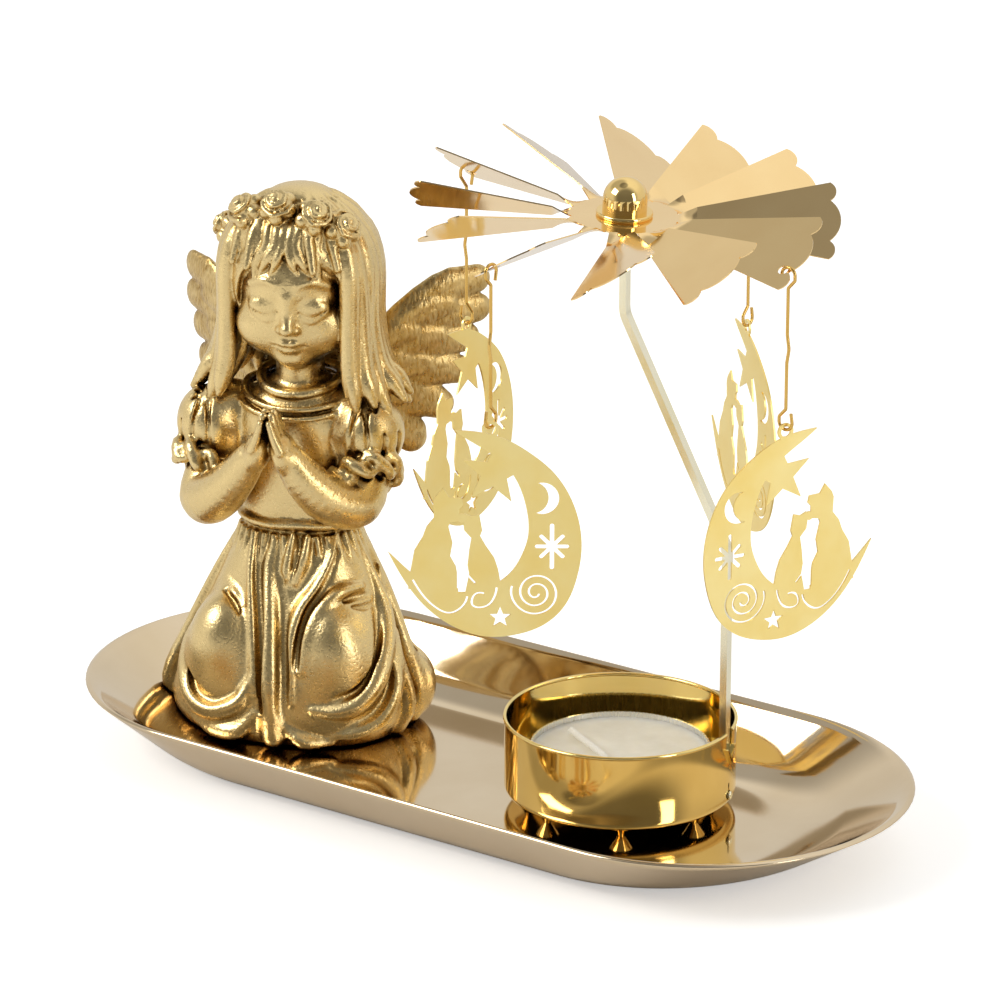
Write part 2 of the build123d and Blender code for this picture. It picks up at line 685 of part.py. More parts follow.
with BuildSketch() as moon:
    with BuildLine():
        Spline(*scaled(moon_outer_shares, pendant_size))
        Spline(*scaled(moon_inner_shares, pendant_size))
    make_face()
    with Locations(scaled([star_centre_share], pendant_size)[0]):
        Polygon(
            *star_points(star_radius_share * pendant_size, star_notch_share * pendant_size, 5, 84),
            align=None,
        )
    with BuildLine():
        Polyline(*scaled(big_cat_shares, pendant_size), close=True)
    make_face()
    with BuildLine():
        Polyline(*scaled(small_cat_shares, pendant_size), close=True)
    make_face()
    with Locations(scaled([kiss_share], pendant_size)[0]):
        Circle(kiss_radius_share * pendant_size)
    with Locations(scaled([ring_share], pendant_size)[0]):
        Circle(pendant_ring_radius)
        Circle(pendant_ring_hole_radius, mode=Mode.SUBTRACT)
    with BuildLine():
        outer_start, outer_middle, outer_end, inner_middle = scaled(cut_moon_shares, pendant_size)
        ThreePointArc(outer_start, outer_middle, outer_end)
        ThreePointArc(outer_end, inner_middle, outer_start)
    make_face(mode=Mode.SUBTRACT)
    with Locations(scaled([small_star_share], pendant_size)[0]):
        Polygon(
            *star_points(
                small_star_radius_share * pendant_size, small_star_radius_share * pendant_size * 0.42, 5, 90
            ),
            align=None, mode=Mode.SUBTRACT,
        )
    with Locations(scaled([ray_star_share], pendant_size)[0]):
        for index in range(4):
            long_ray = index == 2
            reach = (ray_long_share if long_ray else ray_short_share) * pendant_size
            SlotOverall(reach * 2, pendant_slot_width * 2, rotation=45 * index, mode=Mode.SUBTRACT)
    for cut in (spiral_points(), scaled(big_tail_shares, pendant_size), scaled(small_tail_shares, pendant_size)):
        with BuildLine() as cut_line:
            Spline(*cut)
        trace(line_width=pendant_slot_width, mode=Mode.SUBTRACT)
    for cut in (leg_gap_shares, paw_gap_shares):
        with BuildLine() as cut_line:
            Polyline(*scaled(cut, pendant_size))
        trace(line_width=pendant_slot_width, mode=Mode.SUBTRACT)

wire_drop = hook_bow_drop + hook_bow_radius
ring_drop = wire_drop + pendant_ring_hole_radius - wire_radius - pendant_ring_gap


def hang_pendant(hook_at, moon_angle):
    """One pendant, with its ring on the lowest place of a hook's wire."""
    place = upright_plane(hook_at.origin - Vector(0, 0, ring_drop), moon_angle)
    ring_x, ring_y = scaled([ring_share], pendant_size)[0]
    with BuildSketch(place.offset(-pendant_sheet / 2)) as outline:
        with Locations((-ring_x, -ring_y)):
            add(moon.sketch)
    extrude(outline.sketch, amount=pendant_sheet)


with BuildPart() as pendant_1:
    hang_pendant(hook_places[0], pendant_angles[0])
pendant_1.part.label = "pendant_1"
with BuildPart() as pendant_2:
    hang_pendant(hook_places[1], pendant_angles[1])
pendant_2.part.label = "pendant_2"
with BuildPart() as pendant_3:
    hang_pendant(hook_places[2], pendant_angles[2])
pendant_3.part.label = "pendant_3"
with BuildPart() as pendant_4:
    hang_pendant(hook_places[3], pendant_angles[3])
pendant_4.part.label = "pendant_4"

# Figurine: cast resin. The dress, arms, head, hair and wreath are one casting, and the wings are bonded
# into the back. Places are shares of its height: x to its left hand, y to its back, z up from the tray.
figurine_plane = Plane(
    origin=(figurine_x, figurine_y, tray_sheet),
    x_dir=(cos(radians(figurine_front_angle + 90)), sin(radians(figurine_front_angle + 90)), 0),
    z_dir=(0, 0, 1),
)
dress_shares = [        # height, place to the left and back, half width, half depth
    (0, 0.002, 0.004, 0.2, 0.138),
    (0.049, 0.002, 0.004, 0.228, 0.161),
    (0.122, 0.002, 0.007, 0.2, 0.151),
    (0.228, 0.007, 0.012, 0.156, 0.134),
    (0.309, 0.007, 0.018, 0.124, 0.107),
    (0.371, 0.007, 0.021, 0.098, 0.085),
    (0.456, 0.007, 0.021, 0.107, 0.086),
    (0.537, 0.008, 0.021, 0.122, 0.081),
    (0.594, 0.011, 0.02, 0.102, 0.07),
    (0.639, 0.015, 0.008, 0.052, 0.05),
    (0.717, 0.018, 0, 0.044, 0.044),
]
collar_shares = [(0.55, 0.011, 0.007, 0.118, 0.09), (0.615, 0.015, 0.007, 0.062, 0.059)]
swelling_shares = [     # middle, the way the long axis points, half length, half width
    ((-0.102, -0.069, 0.122), (-0.12, -0.3, 1), 0.143, 0.078),
    ((0.106, -0.065, 0.126), (0.12, -0.3, 1), 0.143, 0.078),
    ((0.195, 0.057, 0.077), (1, 0.35, 0.1), 0.065, 0.050),
    ((-0.14, -0.008, 0.501), (-0.28, -0.1, -1), 0.094, 0.070),
    ((0.143, -0.008, 0.521), (0.3, -0.1, -1), 0.098, 0.072),
    ((0.018, 0.004, 0.847), (0, 0, 1), 0.153, 0.143),
    ((0.029, -0.034, 0.79), (0, 0, 1), 0.104, 0.098),
    ((0.012, 0.053, 0.749), (0, 0.06, 1), 0.195, 0.112),
]
limb_shares = [         # from, to, radius at each end
    ((-0.143, -0.024, 0.472), (-0.135, -0.065, 0.425), 0.049, 0.045),
    ((0.151, -0.024, 0.489), (0.143, -0.065, 0.45), 0.049, 0.045),
    ((-0.135, -0.065, 0.425), (-0.026, -0.151, 0.529), 0.045, 0.028),
    ((0.143, -0.065, 0.45), (0.054, -0.151, 0.537), 0.045, 0.028),
    ((-0.018, -0.156, 0.529), (0.007, -0.164, 0.623), 0.028, 0.018),
    ((0.047, -0.156, 0.537), (0.026, -0.164, 0.623), 0.028, 0.018),
    ((-0.094, -0.008, 0.831), (-0.13, -0.016, 0.7), 0.049, 0.041),
    ((0.13, -0.008, 0.839), (0.153, -0.016, 0.7), 0.049, 0.041),
    ((-0.13, -0.016, 0.7), (-0.166, -0.016, 0.64), 0.041, 0.013),
    ((0.153, -0.016, 0.7), (0.212, -0.004, 0.648), 0.039, 0.010),
]
wreath_middle_share = (0.018, 0.004, 0.847)
wreath_level_share = 0.920
wreath_tilt_share = 0.5
rose_radius_share = 0.027
skull_half_height_share = 0.153
skull_radius_share = 0.143
wing_right_root_share = (-0.033, 0.077, 0.464)
wing_left_root_share = (0.041, 0.077, 0.489)
wing_sweep_angle = 24
wing_notch_shares = [
    (0.277, 0.334), (0.269, 0.273), (0.251, 0.22), (0.232, 0.167), (0.212, 0.106), (0.175, 0.041),
    (0.114, -0.008), (0.024, -0.033),
]
wing_feather_shares = [
    (0.296, 0.306), (0.287, 0.248), (0.262, 0.194), (0.252, 0.132), (0.23, 0.065), (0.178, -0.007),
    (0.081, -0.039),
]
wing_crest_shares = [
    (-0.024, 0), (0.029, 0.114), (0.09, 0.22), (0.163, 0.289), (0.236, 0.33), (0.277, 0.334),
]
wing_cover_share = 0.62
wing_thickness_share = 0.021


def figurine_point(share):
    """A place on the figurine from its shares."""
    return figurine_plane.from_local_coords(Vector(*share) * figurine_height)


def figurine_way(share):
    """A direction in the figurine's own frame, turned into the part's."""
    return (figurine_plane.from_local_coords(Vector(*share)) - figurine_plane.origin).normalized()


def dress_sections(shares):
    """Level oval sections up the dress."""
    sections = []
    for height, left, back, half_width, half_depth in shares:
        place = Plane(origin=figurine_point((left, back, height)), x_dir=figurine_plane.x_dir, z_dir=(0, 0, 1))
        with BuildSketch(place) as section:
            Ellipse(half_width * figurine_height, half_depth * figurine_height)
        sections.append(section.sketch)
    return sections


def lengthwise_plane(origin, along):
    """A plane that holds a long axis as its x."""
    side = along.cross(Vector(0, 0, 1)) if abs(along.Z) < 0.9 else along.cross(figurine_plane.x_dir)
    return Plane(origin=origin, x_dir=along, z_dir=side)


def swelling(middle, way, half_length, half_width):
    """A rounded form, longer or shorter than it is wide."""
    along = figurine_way(way)
    place = lengthwise_plane(figurine_point(middle), along)
    with BuildSketch(place) as profile:
        with BuildLine() as outline:
            EllipticalCenterArc(
                (0, 0), half_length * figurine_height, half_width * figurine_height, arc_size=180
            )
            Line(outline.line @ 0, outline.line @ 1)
        make_face()
    revolve(profile.sketch, axis=Axis(place.origin, along))


def limb(start, stop, start_radius, stop_radius):
    """A tapered limb with round ends."""
    foot = figurine_point(start)
    head = figurine_point(stop)
    along = (head - foot).normalized()
    length = (head - foot).length
    low = start_radius * figurine_height
    high = stop_radius * figurine_height
    with BuildSketch(lengthwise_plane(foot, along)) as profile:
        with BuildLine():
            Line((-low, 0), (length + high, 0))
            ThreePointArc((length + high, 0), (length + high * sqrt(1 / 2), high * sqrt(1 / 2)), (length, high))
            Line((length, high), (0, low))
            ThreePointArc((0, low), (-low * sqrt(1 / 2), low * sqrt(1 / 2)), (-low, 0))
        make_face()
    revolve(profile.sketch, axis=Axis(foot, along))


def wing(root, side):
    """A wing: a sheet of feathers that ends in lobes, under a shorter covering layer."""
    angle = figurine_front_angle + 90 + side * wing_sweep_angle
    level = Vector(cos(radians(angle)), sin(radians(angle)), 0) * side
    place = Plane(origin=figurine_point(root), x_dir=level, z_dir=level.cross(Vector(0, 0, 1)))
    cover_size = figurine_height * wing_cover_share
    sheet = figurine_height * wing_thickness_share
    for size, thickness in ((figurine_height, sheet), (cover_size, sheet * 1.5)):
        with BuildSketch(place.offset(-thickness / 2)) as feathers:
            with BuildLine() as outline:
                Spline(*scaled(wing_crest_shares, size))
                for index, tip in enumerate(scaled(wing_feather_shares, size)):
                    start, stop = scaled(wing_notch_shares[index:index + 2], size)
                    ThreePointArc(start, tip, stop)
                Line(scaled(wing_notch_shares, size)[-1], scaled(wing_crest_shares, size)[0])
            make_face(outline.edges())
        extrude(feathers.sketch, amount=thickness)


with BuildPart() as figurine_right_wing:
    wing(wing_right_root_share, -1)
figurine_right_wing.part.label = "figurine_right_wing"

with BuildPart() as figurine_left_wing:
    wing(wing_left_root_share, 1)
figurine_left_wing.part.label = "figurine_left_wing"


def wreath_place(turn):
    """A rose's place in shares: on the hair, where the wreath's slanting plane meets it."""
    left, back, up = wreath_middle_share
    reach = skull_radius_share
    for _ in range(6):
        rise = wreath_level_share - wreath_tilt_share * reach * sin(turn) - up
        reach = skull_radius_share * sqrt(1 - (rise / skull_half_height_share) ** 2)
    return (left + reach * cos(turn), back + reach * sin(turn), up + rise)


with BuildPart() as figurine_bed:
    with Locations((figurine_x, figurine_y, 0)):
        Box(figurine_height, tray_width, tray_height, align=(Align.CENTER, Align.CENTER, Align.MIN))
    add(tray_hollow.part, mode=Mode.SUBTRACT)

with BuildPart() as figurine_body:
    loft(sections=dress_sections(dress_shares))
    loft(sections=dress_sections(collar_shares), ruled=True)
    for middle, way, half_length, half_width in swelling_shares:
        swelling(middle, way, half_length, half_width)
    for start, stop, start_radius, stop_radius in limb_shares:
        limb(start, stop, start_radius, stop_radius)
    for index in range(rose_count):
        with Locations(figurine_point(wreath_place(radians(360 * index / rose_count)))):
            Sphere(rose_radius_share * figurine_height)
    split(bisect_by=figurine_plane)
    add(figurine_bed.part, mode=Mode.SUBTRACT)
    add(figurine_right_wing.part, mode=Mode.SUBTRACT)
    add(figurine_left_wing.part, mode=Mode.SUBTRACT)
figurine_body.part.label = "figurine_body"

for piece in (
    tray, figurine_body, figurine_right_wing, figurine_left_wing, candle_cup, post, tealight_shell,
    tealight_wax, tealight_wick, wick_sustainer, spinner_wheel, pivot_cap, hook_1, hook_2, hook_3, hook_4,
    pendant_1, pendant_2, pendant_3, pendant_4,
):
    export_step(piece.part, f"parts/{piece.part.label}.step")
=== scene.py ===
import bpy
import math
import numpy as np
import openvdb
from mathutils import Euler, Matrix, Vector


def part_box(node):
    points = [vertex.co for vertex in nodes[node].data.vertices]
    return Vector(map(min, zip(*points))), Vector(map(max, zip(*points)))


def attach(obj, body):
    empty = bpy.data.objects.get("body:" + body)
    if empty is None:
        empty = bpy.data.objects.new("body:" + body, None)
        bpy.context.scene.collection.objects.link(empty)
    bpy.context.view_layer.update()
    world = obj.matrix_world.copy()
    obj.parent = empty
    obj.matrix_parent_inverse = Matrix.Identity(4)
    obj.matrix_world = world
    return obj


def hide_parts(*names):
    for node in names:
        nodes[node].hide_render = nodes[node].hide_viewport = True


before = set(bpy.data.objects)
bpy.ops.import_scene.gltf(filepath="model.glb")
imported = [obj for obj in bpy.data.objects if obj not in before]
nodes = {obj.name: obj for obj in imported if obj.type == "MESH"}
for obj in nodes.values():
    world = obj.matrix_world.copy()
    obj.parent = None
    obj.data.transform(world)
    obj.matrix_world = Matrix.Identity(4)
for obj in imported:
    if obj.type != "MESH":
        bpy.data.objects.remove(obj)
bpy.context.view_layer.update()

# The view: a long lens looks down on the carousel from its front right, as the photograph does. The
# camera's own three axes, measured on the tray, the cup and the wheel, are its rotation.
view = bpy.data.cameras.new("view")
view.sensor_width = 36
view.lens = 200.8
camera = bpy.data.objects.new("view", view)
view_right = Vector((0.81136, 0.58454, 0.00233))
view_up = Vector((-0.19602, 0.26832, 0.94317))
view_ahead = Vector((-0.55069, 0.76571, -0.33229))
camera.matrix_world = Matrix.Translation((0.65221, -0.90351, 0.45797)) @ Matrix(
    (view_right, view_up, -view_ahead)
).transposed().to_4x4()
view.clip_end = 20
bpy.context.scene.collection.objects.link(camera)
bpy.context.scene.camera = camera
bpy.context.scene.view_settings.view_transform = "Standard"


# The table and the room: a white tabletop in a white studio. The room's light is what polished metal
# shows, so it is bright all round, with a greyer ceiling and two large soft lamps in it.
def linear(code):
    """An sRGB hex colour as linear red, green, blue and alpha."""
    parts = [int(code[at:at + 2], 16) / 255 for at in (1, 3, 5)]
    return [part / 12.92 if part <= 0.04045 else ((part + 0.055) / 1.055) ** 2.4 for part in parts] + [1]


def feed(tree, node, inputs):
    """Sets a node's inputs, each to a value or to the socket that feeds it."""
    for name, value in inputs.items():
        if isinstance(value, bpy.types.NodeSocket):
            tree.links.new(value, node.inputs[name])
        else:
            node.inputs[name].default_value = value


def add_node(tree, kind, inputs=None, **settings):
    """One node with its settings and what feeds it."""
    node = tree.nodes.new(kind)
    for name, value in settings.items():
        setattr(node, name, value)
    feed(tree, node, inputs or {})
    return node


def ramp_stops(node, stops):
    """Sets a colour ramp's stops from (place, hex colour) pairs."""
    band = node.color_ramp
    while len(band.elements) < len(stops):
        band.elements.new(0.5)
    for element, (place, code) in zip(band.elements, stops):
        element.position = place
        element.color = linear(code)


room = bpy.data.worlds.new("studio")
bpy.context.scene.world = room
room.use_nodes = True
tree = room.node_tree
backdrop_light = tree.nodes["Background"]
direction = add_node(tree, "ShaderNodeTexCoord").outputs["Generated"]
height = add_node(tree, "ShaderNodeSeparateXYZ", {"Vector": direction}).outputs["Z"]
walls = add_node(tree, "ShaderNodeValToRGB", {"Fac": height})
ramp_stops(walls, [
    (0.0, "#E3E2E0"), (0.34, "#E7E6E4"), (0.5, "#EEEDEB"), (0.68, "#FAFAF9"), (0.93, "#FFFFFF"),
])
shade = walls.outputs["Color"]
dim_places = (((-0.08, -0.1, 0.99), 0.93, 0.975, 0.4), ((-0.54, -0.06, 0.84), 0.78, 0.95, 0.52),
              ((0.56, -0.78, 0.28), 0.3, 0.8, 0.22))
for toward, wide, narrow, left in dim_places:
    facing = add_node(tree, "ShaderNodeVectorMath", {0: direction, 1: toward}, operation="DOT_PRODUCT")
    dimming = add_node(tree, "ShaderNodeMapRange", {
        "Value": facing.outputs["Value"], "From Min": wide, "From Max": narrow, "To Min": 1.0, "To Max": left,
    }, interpolation_type="SMOOTHSTEP")
    shade = add_node(tree, "ShaderNodeVectorMath", {0: shade, "Scale": dimming.outputs["Result"]},
                     operation="SCALE").outputs["Vector"]
tree.links.new(shade, backdrop_light.inputs["Color"])
backdrop_light.inputs["Strength"].default_value = 1.0
white_wall = add_node(tree, "ShaderNodeBackground", {"Color": linear("#FFFFFF"), "Strength": 1.0})
seen = add_node(tree, "ShaderNodeLightPath").outputs["Is Camera Ray"]
room_mix = add_node(tree, "ShaderNodeMixShader", {
    "Fac": seen, 1: backdrop_light.outputs["Background"], 2: white_wall.outputs["Background"],
})
tree.links.new(room_mix.outputs["Shader"], tree.nodes["World Output"].inputs["Surface"])

lamp_aim = (0, 0, 0.06)
for name, place, width, depth, power in (
    ("soft_lamp_left", (-0.72, -0.92, 0.98), 0.8, 0.6, 11),
    ("soft_lamp_right", (1.3, -0.15, 0.5), 0.3, 0.9, 4.5),
):
    lamp = bpy.data.lights.new(name, "AREA")
    lamp.shape = "RECTANGLE"
    lamp.size = width
    lamp.size_y = depth
    lamp.energy = power
    fixture = bpy.data.objects.new(name, lamp)
    fixture.location = place
    fixture.rotation_euler = (Vector(lamp_aim) - Vector(place)).to_track_quat("-Z", "Y").to_euler()
    bpy.context.scene.collection.objects.link(fixture)

tabletop_reach = 3.0
tabletop = bpy.data.meshes.new("tabletop")
tabletop.from_pydata(
    [(-tabletop_reach, -tabletop_reach, 0), (tabletop_reach, -tabletop_reach, 0),
     (tabletop_reach, tabletop_reach, 0), (-tabletop_reach, tabletop_reach, 0)], [], [(0, 1, 2, 3)],
)
table = bpy.data.objects.new("tabletop", tabletop)
bpy.context.scene.collection.objects.link(table)
laminate = bpy.data.materials.new("white laminate, matt")
laminate.use_nodes = True
tree = laminate.node_tree
surface = tree.nodes["Principled BSDF"]
feed(tree, surface, {"Base Color": linear("#F2F1EF"), "Roughness": 0.6})
paper_glow = add_node(tree, "ShaderNodeEmission", {"Color": linear("#FFFFFF"), "Strength": 0.44})
dark = add_node(tree, "ShaderNodeEmission", {"Color": linear("#000000"), "Strength": 0.0})
seen = add_node(tree, "ShaderNodeLightPath").outputs["Is Camera Ray"]
glow = add_node(tree, "ShaderNodeMixShader", {"Fac": seen, 1: dark.outputs[0], 2: paper_glow.outputs[0]})
both = add_node(tree, "ShaderNodeAddShader", {0: surface.outputs[0], 1: glow.outputs[0]})
tree.links.new(both.outputs[0], tree.nodes["Material Output"].inputs["Surface"])
table.data.materials.append(laminate)


# Tray: an oval dish, pressed from one sheet of stainless steel, gold coated and polished. The floor is a
# shorter oval than the rim, so the wall climbs more gently round the ends than along the sides.
millimetre = 0.001
tray_half_straight = 53.2
tray_end_radius = 45.9
tray_height = 14.3
tray_sheet = 0.8
tray_cove = 14.0
tray_flare = math.radians(50)
tray_floor_half_straight = 36.0
lip_bulge = 0.16
tray_cove_rise = tray_cove * (1 - math.cos(tray_flare))
tray_flare_rise = tray_height - tray_sheet * math.cos(tray_flare) - tray_cove_rise
tray_floor_radius = (tray_end_radius - tray_cove * math.sin(tray_flare)
                     - tray_flare_rise / math.tan(tray_flare))
tray_stretch = (tray_half_straight - tray_floor_half_straight) / (tray_end_radius - tray_floor_radius)


def show(mesh, name, finish):
    """A smooth object for a mesh, in the scene, with its finish."""
    piece = bpy.data.objects.new(name, mesh)
    bpy.context.scene.collection.objects.link(piece)
    mesh.materials.append(finish)
    mesh.polygons.foreach_set("use_smooth", [True] * len(mesh.polygons))
    return piece


def new_mesh(name, points, faces):
    """A mesh of points in millimetres."""
    mesh = bpy.data.meshes.new(name)
    mesh.from_pydata([tuple(value * millimetre for value in point) for point in points], [], faces)
    mesh.update()
    return mesh


def bands(levels, count):
    """The faces between a number of closed lines with the same number of points each."""
    return [(level * count + at, level * count + (at + 1) % count,
             (level + 1) * count + (at + 1) % count, (level + 1) * count + at)
            for level in range(levels - 1) for at in range(count)]


def new_finish(name):
    """A material, its nodes, its surface and the place on the object, which patterns follow."""
    finish = bpy.data.materials.new(name)
    finish.use_nodes = True
    tree = finish.node_tree
    return finish, tree, tree.nodes["Principled BSDF"], add_node(tree, "ShaderNodeTexCoord").outputs["Object"]


def gold(name, tones, rough, waves, grain=(0.0004, 0.04, 0.00003), haze=(0.012, 3.0)):
    """A gold surface: two tones and two roughnesses in patches of haze, slow waves and a fine grain.

    The waves are given by size, detail, strength and height, the grain by size, strength and height, and
    the haze by size and detail."""
    finish, tree, surface, place = new_finish(name)
    patches = add_node(tree, "ShaderNodeTexNoise", {"Vector": place, "Scale": 1 / haze[0], "Detail": haze[1]})
    tone = add_node(tree, "ShaderNodeValToRGB", {"Fac": patches.outputs["Fac"]})
    ramp_stops(tone, [(0.3, tones[0]), (0.7, tones[1])])
    gloss = add_node(tree, "ShaderNodeMapRange", {
        "Value": patches.outputs["Fac"], "To Min": rough[0], "To Max": rough[1],
    })
    swell = add_node(tree, "ShaderNodeTexNoise", {"Vector": place, "Scale": 1 / waves[0], "Detail": waves[1]})
    grains = add_node(tree, "ShaderNodeTexNoise", {"Vector": place, "Scale": 1 / grain[0], "Detail": 2.0})
    slow = add_node(tree, "ShaderNodeBump", {
        "Height": swell.outputs["Fac"], "Strength": waves[2], "Distance": waves[3],
    })
    fine = add_node(tree, "ShaderNodeBump", {
        "Height": grains.outputs["Fac"], "Strength": grain[1], "Distance": grain[2],
        "Normal": slow.outputs["Normal"],
    })
    feed(tree, surface, {
        "Metallic": 1.0, "Base Color": tone.outputs["Color"], "Roughness": gloss.outputs["Result"],
        "Normal": fine.outputs["Normal"],
    })
    return finish


def oval(radius, level, straight_steps=22, end_steps=40):
    """One level line of the tray, where its sides stand a distance from the middle."""
    half = tray_floor_half_straight + tray_stretch * (radius - tray_floor_radius)
    ring = []
    for side in (1, -1):
        for step in range(straight_steps):
            along = half * (1 - 2 * step / straight_steps) * side
            ring.append((along, radius * side, level))
        for step in range(end_steps):
            turn = math.pi / 2 + math.pi * step / end_steps
            ring.append(((-half + radius * math.cos(turn)) * side, radius * math.sin(turn) * side, level))
    return ring


def tray_side(offset):
    """Radius and level up one face of the sheet, from the floor's edge to the rim."""
    line = []
    bend = tray_cove - offset
    for step in range(15):
        turn = tray_flare * step / 14
        line.append((tray_floor_radius + bend * math.sin(turn), tray_cove - bend * math.cos(turn)))
    foot_radius, foot_level = line[-1]
    top = tray_height - (0 if offset else tray_sheet * math.cos(tray_flare))
    run = (top - foot_level) / math.tan(tray_flare)
    for step in range(1, 7):
        line.append((foot_radius + run * step / 6, foot_level + (top - foot_level) * step / 6))
    return line


outside = tray_side(0)
inside = tray_side(tray_sheet)
(inner_rim, inner_top), (outer_rim, outer_top) = inside[-1], outside[-1]
lip = []
for step in range(1, 6):
    turn = math.pi * step / 6
    lift = lip_bulge * math.sin(turn)
    share = (1 - math.cos(turn)) / 2
    lip.append((outer_rim + (inner_rim - outer_rim) * share + lift * 0.2,
                min(outer_top + (inner_top - outer_top) * share + lift, tray_height)))
profile = outside + lip + inside[::-1]
rings = [oval(radius, level) for radius, level in profile]
for share in (0.75, 0.5, 0.25, 0.02):
    rings.append(oval(tray_floor_radius * share, tray_sheet))
    rings.insert(0, oval(tray_floor_radius * share, 0))
count = len(rings[0])
points = [point for ring in rings for point in ring]
faces = bands(len(rings), count)
faces.append(tuple(range(count))[::-1])
faces.append(tuple(range((len(rings) - 1) * count, len(rings) * count)))
tray_mesh = new_mesh("tray_sheet", points, [face[::-1] for face in faces])

# Polished steel under a thin gold coating: a clear mirror, a little warmer and darker than brass. Pressing
# leaves slow waves in it, about 45 mm apart, and handling a faint haze. Real polishing marks are finer
# than the 0.6 mm grain that stands for them.
coated_steel = gold(
    "stainless steel, gold coated and polished", ("#D8C3A1", "#DFCCAD"), (0.05, 0.11),
    (0.045, 1.0, 0.3, 0.0003), (0.0006, 0.05, 0.00002), (0.02, 4.0),
)
tray = show(tray_mesh, "tray_dish", coated_steel)
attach(tray, "tray")
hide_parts("tray")


def refinish(node, finish):
    """Gives a CAD node its finish."""
    mesh = nodes[node].data
    for at in range(len(mesh.materials)):
        mesh.materials[at] = finish
    return nodes[node]


lacquered_tin = gold(
    "tinplate, gold lacquered", ("#F2D688", "#F7DC92"), (0.05, 0.1), (0.016, 1.5, 0.4, 0.0002)
)
refinish("candle_cup", lacquered_tin)

# Post: a steel strip pressed into a channel, brass plated, with its foot held in the cup's wall. Its plating
# is paler than the lacquer on the cup.
plated_strip = gold(
    "steel strip, pale brass plated", ("#F6EFCF", "#FBF5DC"), (0.16, 0.26), (0.008, 1.5, 0.4, 0.00008)
)
refinish("post", plated_strip)

# Tealight shell: drawn aluminium, thin and soft, with faint draw lines up its wall.
drawn_aluminium, tree, surface, place = new_finish("aluminium, drawn")
stretched = add_node(tree, "ShaderNodeMapping", {"Vector": place, "Scale": (1.0, 1.0, 0.05)})
lines = add_node(tree, "ShaderNodeTexNoise", {"Vector": stretched.outputs["Vector"], "Scale": 1 / 0.0005})
draw = add_node(tree, "ShaderNodeBump", {
    "Height": lines.outputs["Fac"], "Strength": 0.2, "Distance": 0.00004,
})
dull = add_node(tree, "ShaderNodeMapRange", {"Value": lines.outputs["Fac"], "To Min": 0.2, "To Max": 0.34})
feed(tree, surface, {
    "Metallic": 1.0, "Base Color": linear("#E6E6E4"), "Roughness": dull.outputs["Result"],
    "Normal": draw.outputs["Normal"],
})
refinish("tealight_shell", drawn_aluminium)

# Wick sustainer: a small tin disc with a neck that holds the wick's foot. The wax hides it, so it shares the
# shell's finish.
refinish("wick_sustainer", drawn_aluminium)

# Wax: poured paraffin, white and a little see-through, so it glows softly at its edge. It sinks as it sets:
# it climbs the shell's wall and the wick, and its face is faintly uneven.
hub = Vector((28.1, 8.4))
shell_bore = 18.72
wax_low, wax_high = [corner.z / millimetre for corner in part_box("tealight_wax")]
wick_line = [(2.0, -7.6), (-13.6, 1.0)]
wax_sink, wax_swell = 0.62, 0.035
shuffle = np.random.default_rng(7)
ripples = [(shuffle.uniform(0.1, 0.42), shuffle.uniform(0, 6.28), shuffle.uniform(0, 6.28)) for _ in range(7)]


def wax_level(x, y):
    """The wax's face over a place in the shell, from the middle of the shell."""
    reach = math.hypot(x, y)
    climb = 0.55 * math.exp(-(shell_bore - reach) / 0.9)
    (ax, ay), (bx, by) = wick_line
    along = max(0, min(1, ((x - ax) * (bx - ax) + (y - ay) * (by - ay)) / ((bx - ax) ** 2 + (by - ay) ** 2)))
    off = math.hypot(x - ax - along * (bx - ax), y - ay - along * (by - ay))
    bank = 0.4 * math.exp(-(off / 1.3) ** 2)
    uneven = sum(math.sin(size * (x * math.cos(way) + y * math.sin(way)) + start)
                 for size, way, start in ripples)
    return wax_high - wax_sink + climb + bank + wax_swell * uneven


wax_rings, wax_steps = 34, 96
points = [(0, 0, wax_level(0, 0))]
for ring in range(1, wax_rings + 1):
    reach = shell_bore * (1 - (1 - ring / wax_rings) ** 1.4)
    for step in range(wax_steps):
        turn = 2 * math.pi * step / wax_steps
        x, y = reach * math.cos(turn), reach * math.sin(turn)
        points.append((x, y, min(wax_level(x, y), wax_high)))
for level in (wax_high - 2.0, wax_low + 0.8):
    points += [(shell_bore * math.cos(2 * math.pi * step / wax_steps),
                shell_bore * math.sin(2 * math.pi * step / wax_steps), level) for step in range(wax_steps)]
faces = [(0, 1 + step, 1 + (step + 1) % wax_steps) for step in range(wax_steps)]
faces += [(1 + a, 1 + d, 1 + c, 1 + b) for a, b, c, d in bands(wax_rings + 2, wax_steps)]
last = 1 + (wax_rings + 1) * wax_steps
faces.append(tuple(last + step for step in range(wax_steps))[::-1])
wax_mesh = new_mesh("wax", [(x + hub.x, y + hub.y, z) for x, y, z in points], faces)
paraffin, tree, surface, place = new_finish("paraffin wax, poured")
clouds = add_node(tree, "ShaderNodeTexNoise", {"Vector": place, "Scale": 1 / 0.004, "Detail": 5.0})
tone = add_node(tree, "ShaderNodeValToRGB", {"Fac": clouds.outputs["Fac"]})
ramp_stops(tone, [(0.25, "#E2DCCB"), (0.75, "#EFEADC")])
skin = add_node(tree, "ShaderNodeBump", {
    "Height": clouds.outputs["Fac"], "Strength": 0.15, "Distance": 0.00005,
})
feed(tree, surface, {
    "Base Color": tone.outputs["Color"], "Normal": skin.outputs["Normal"], "Roughness": 0.42, "IOR": 1.43,
    "Subsurface Weight": 0.6, "Subsurface Radius": (0.003, 0.0026, 0.002), "Subsurface Scale": 1.0,
})
wax = show(wax_mesh, "wax", paraffin)
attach(wax, "tealight")
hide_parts("tealight_wax")

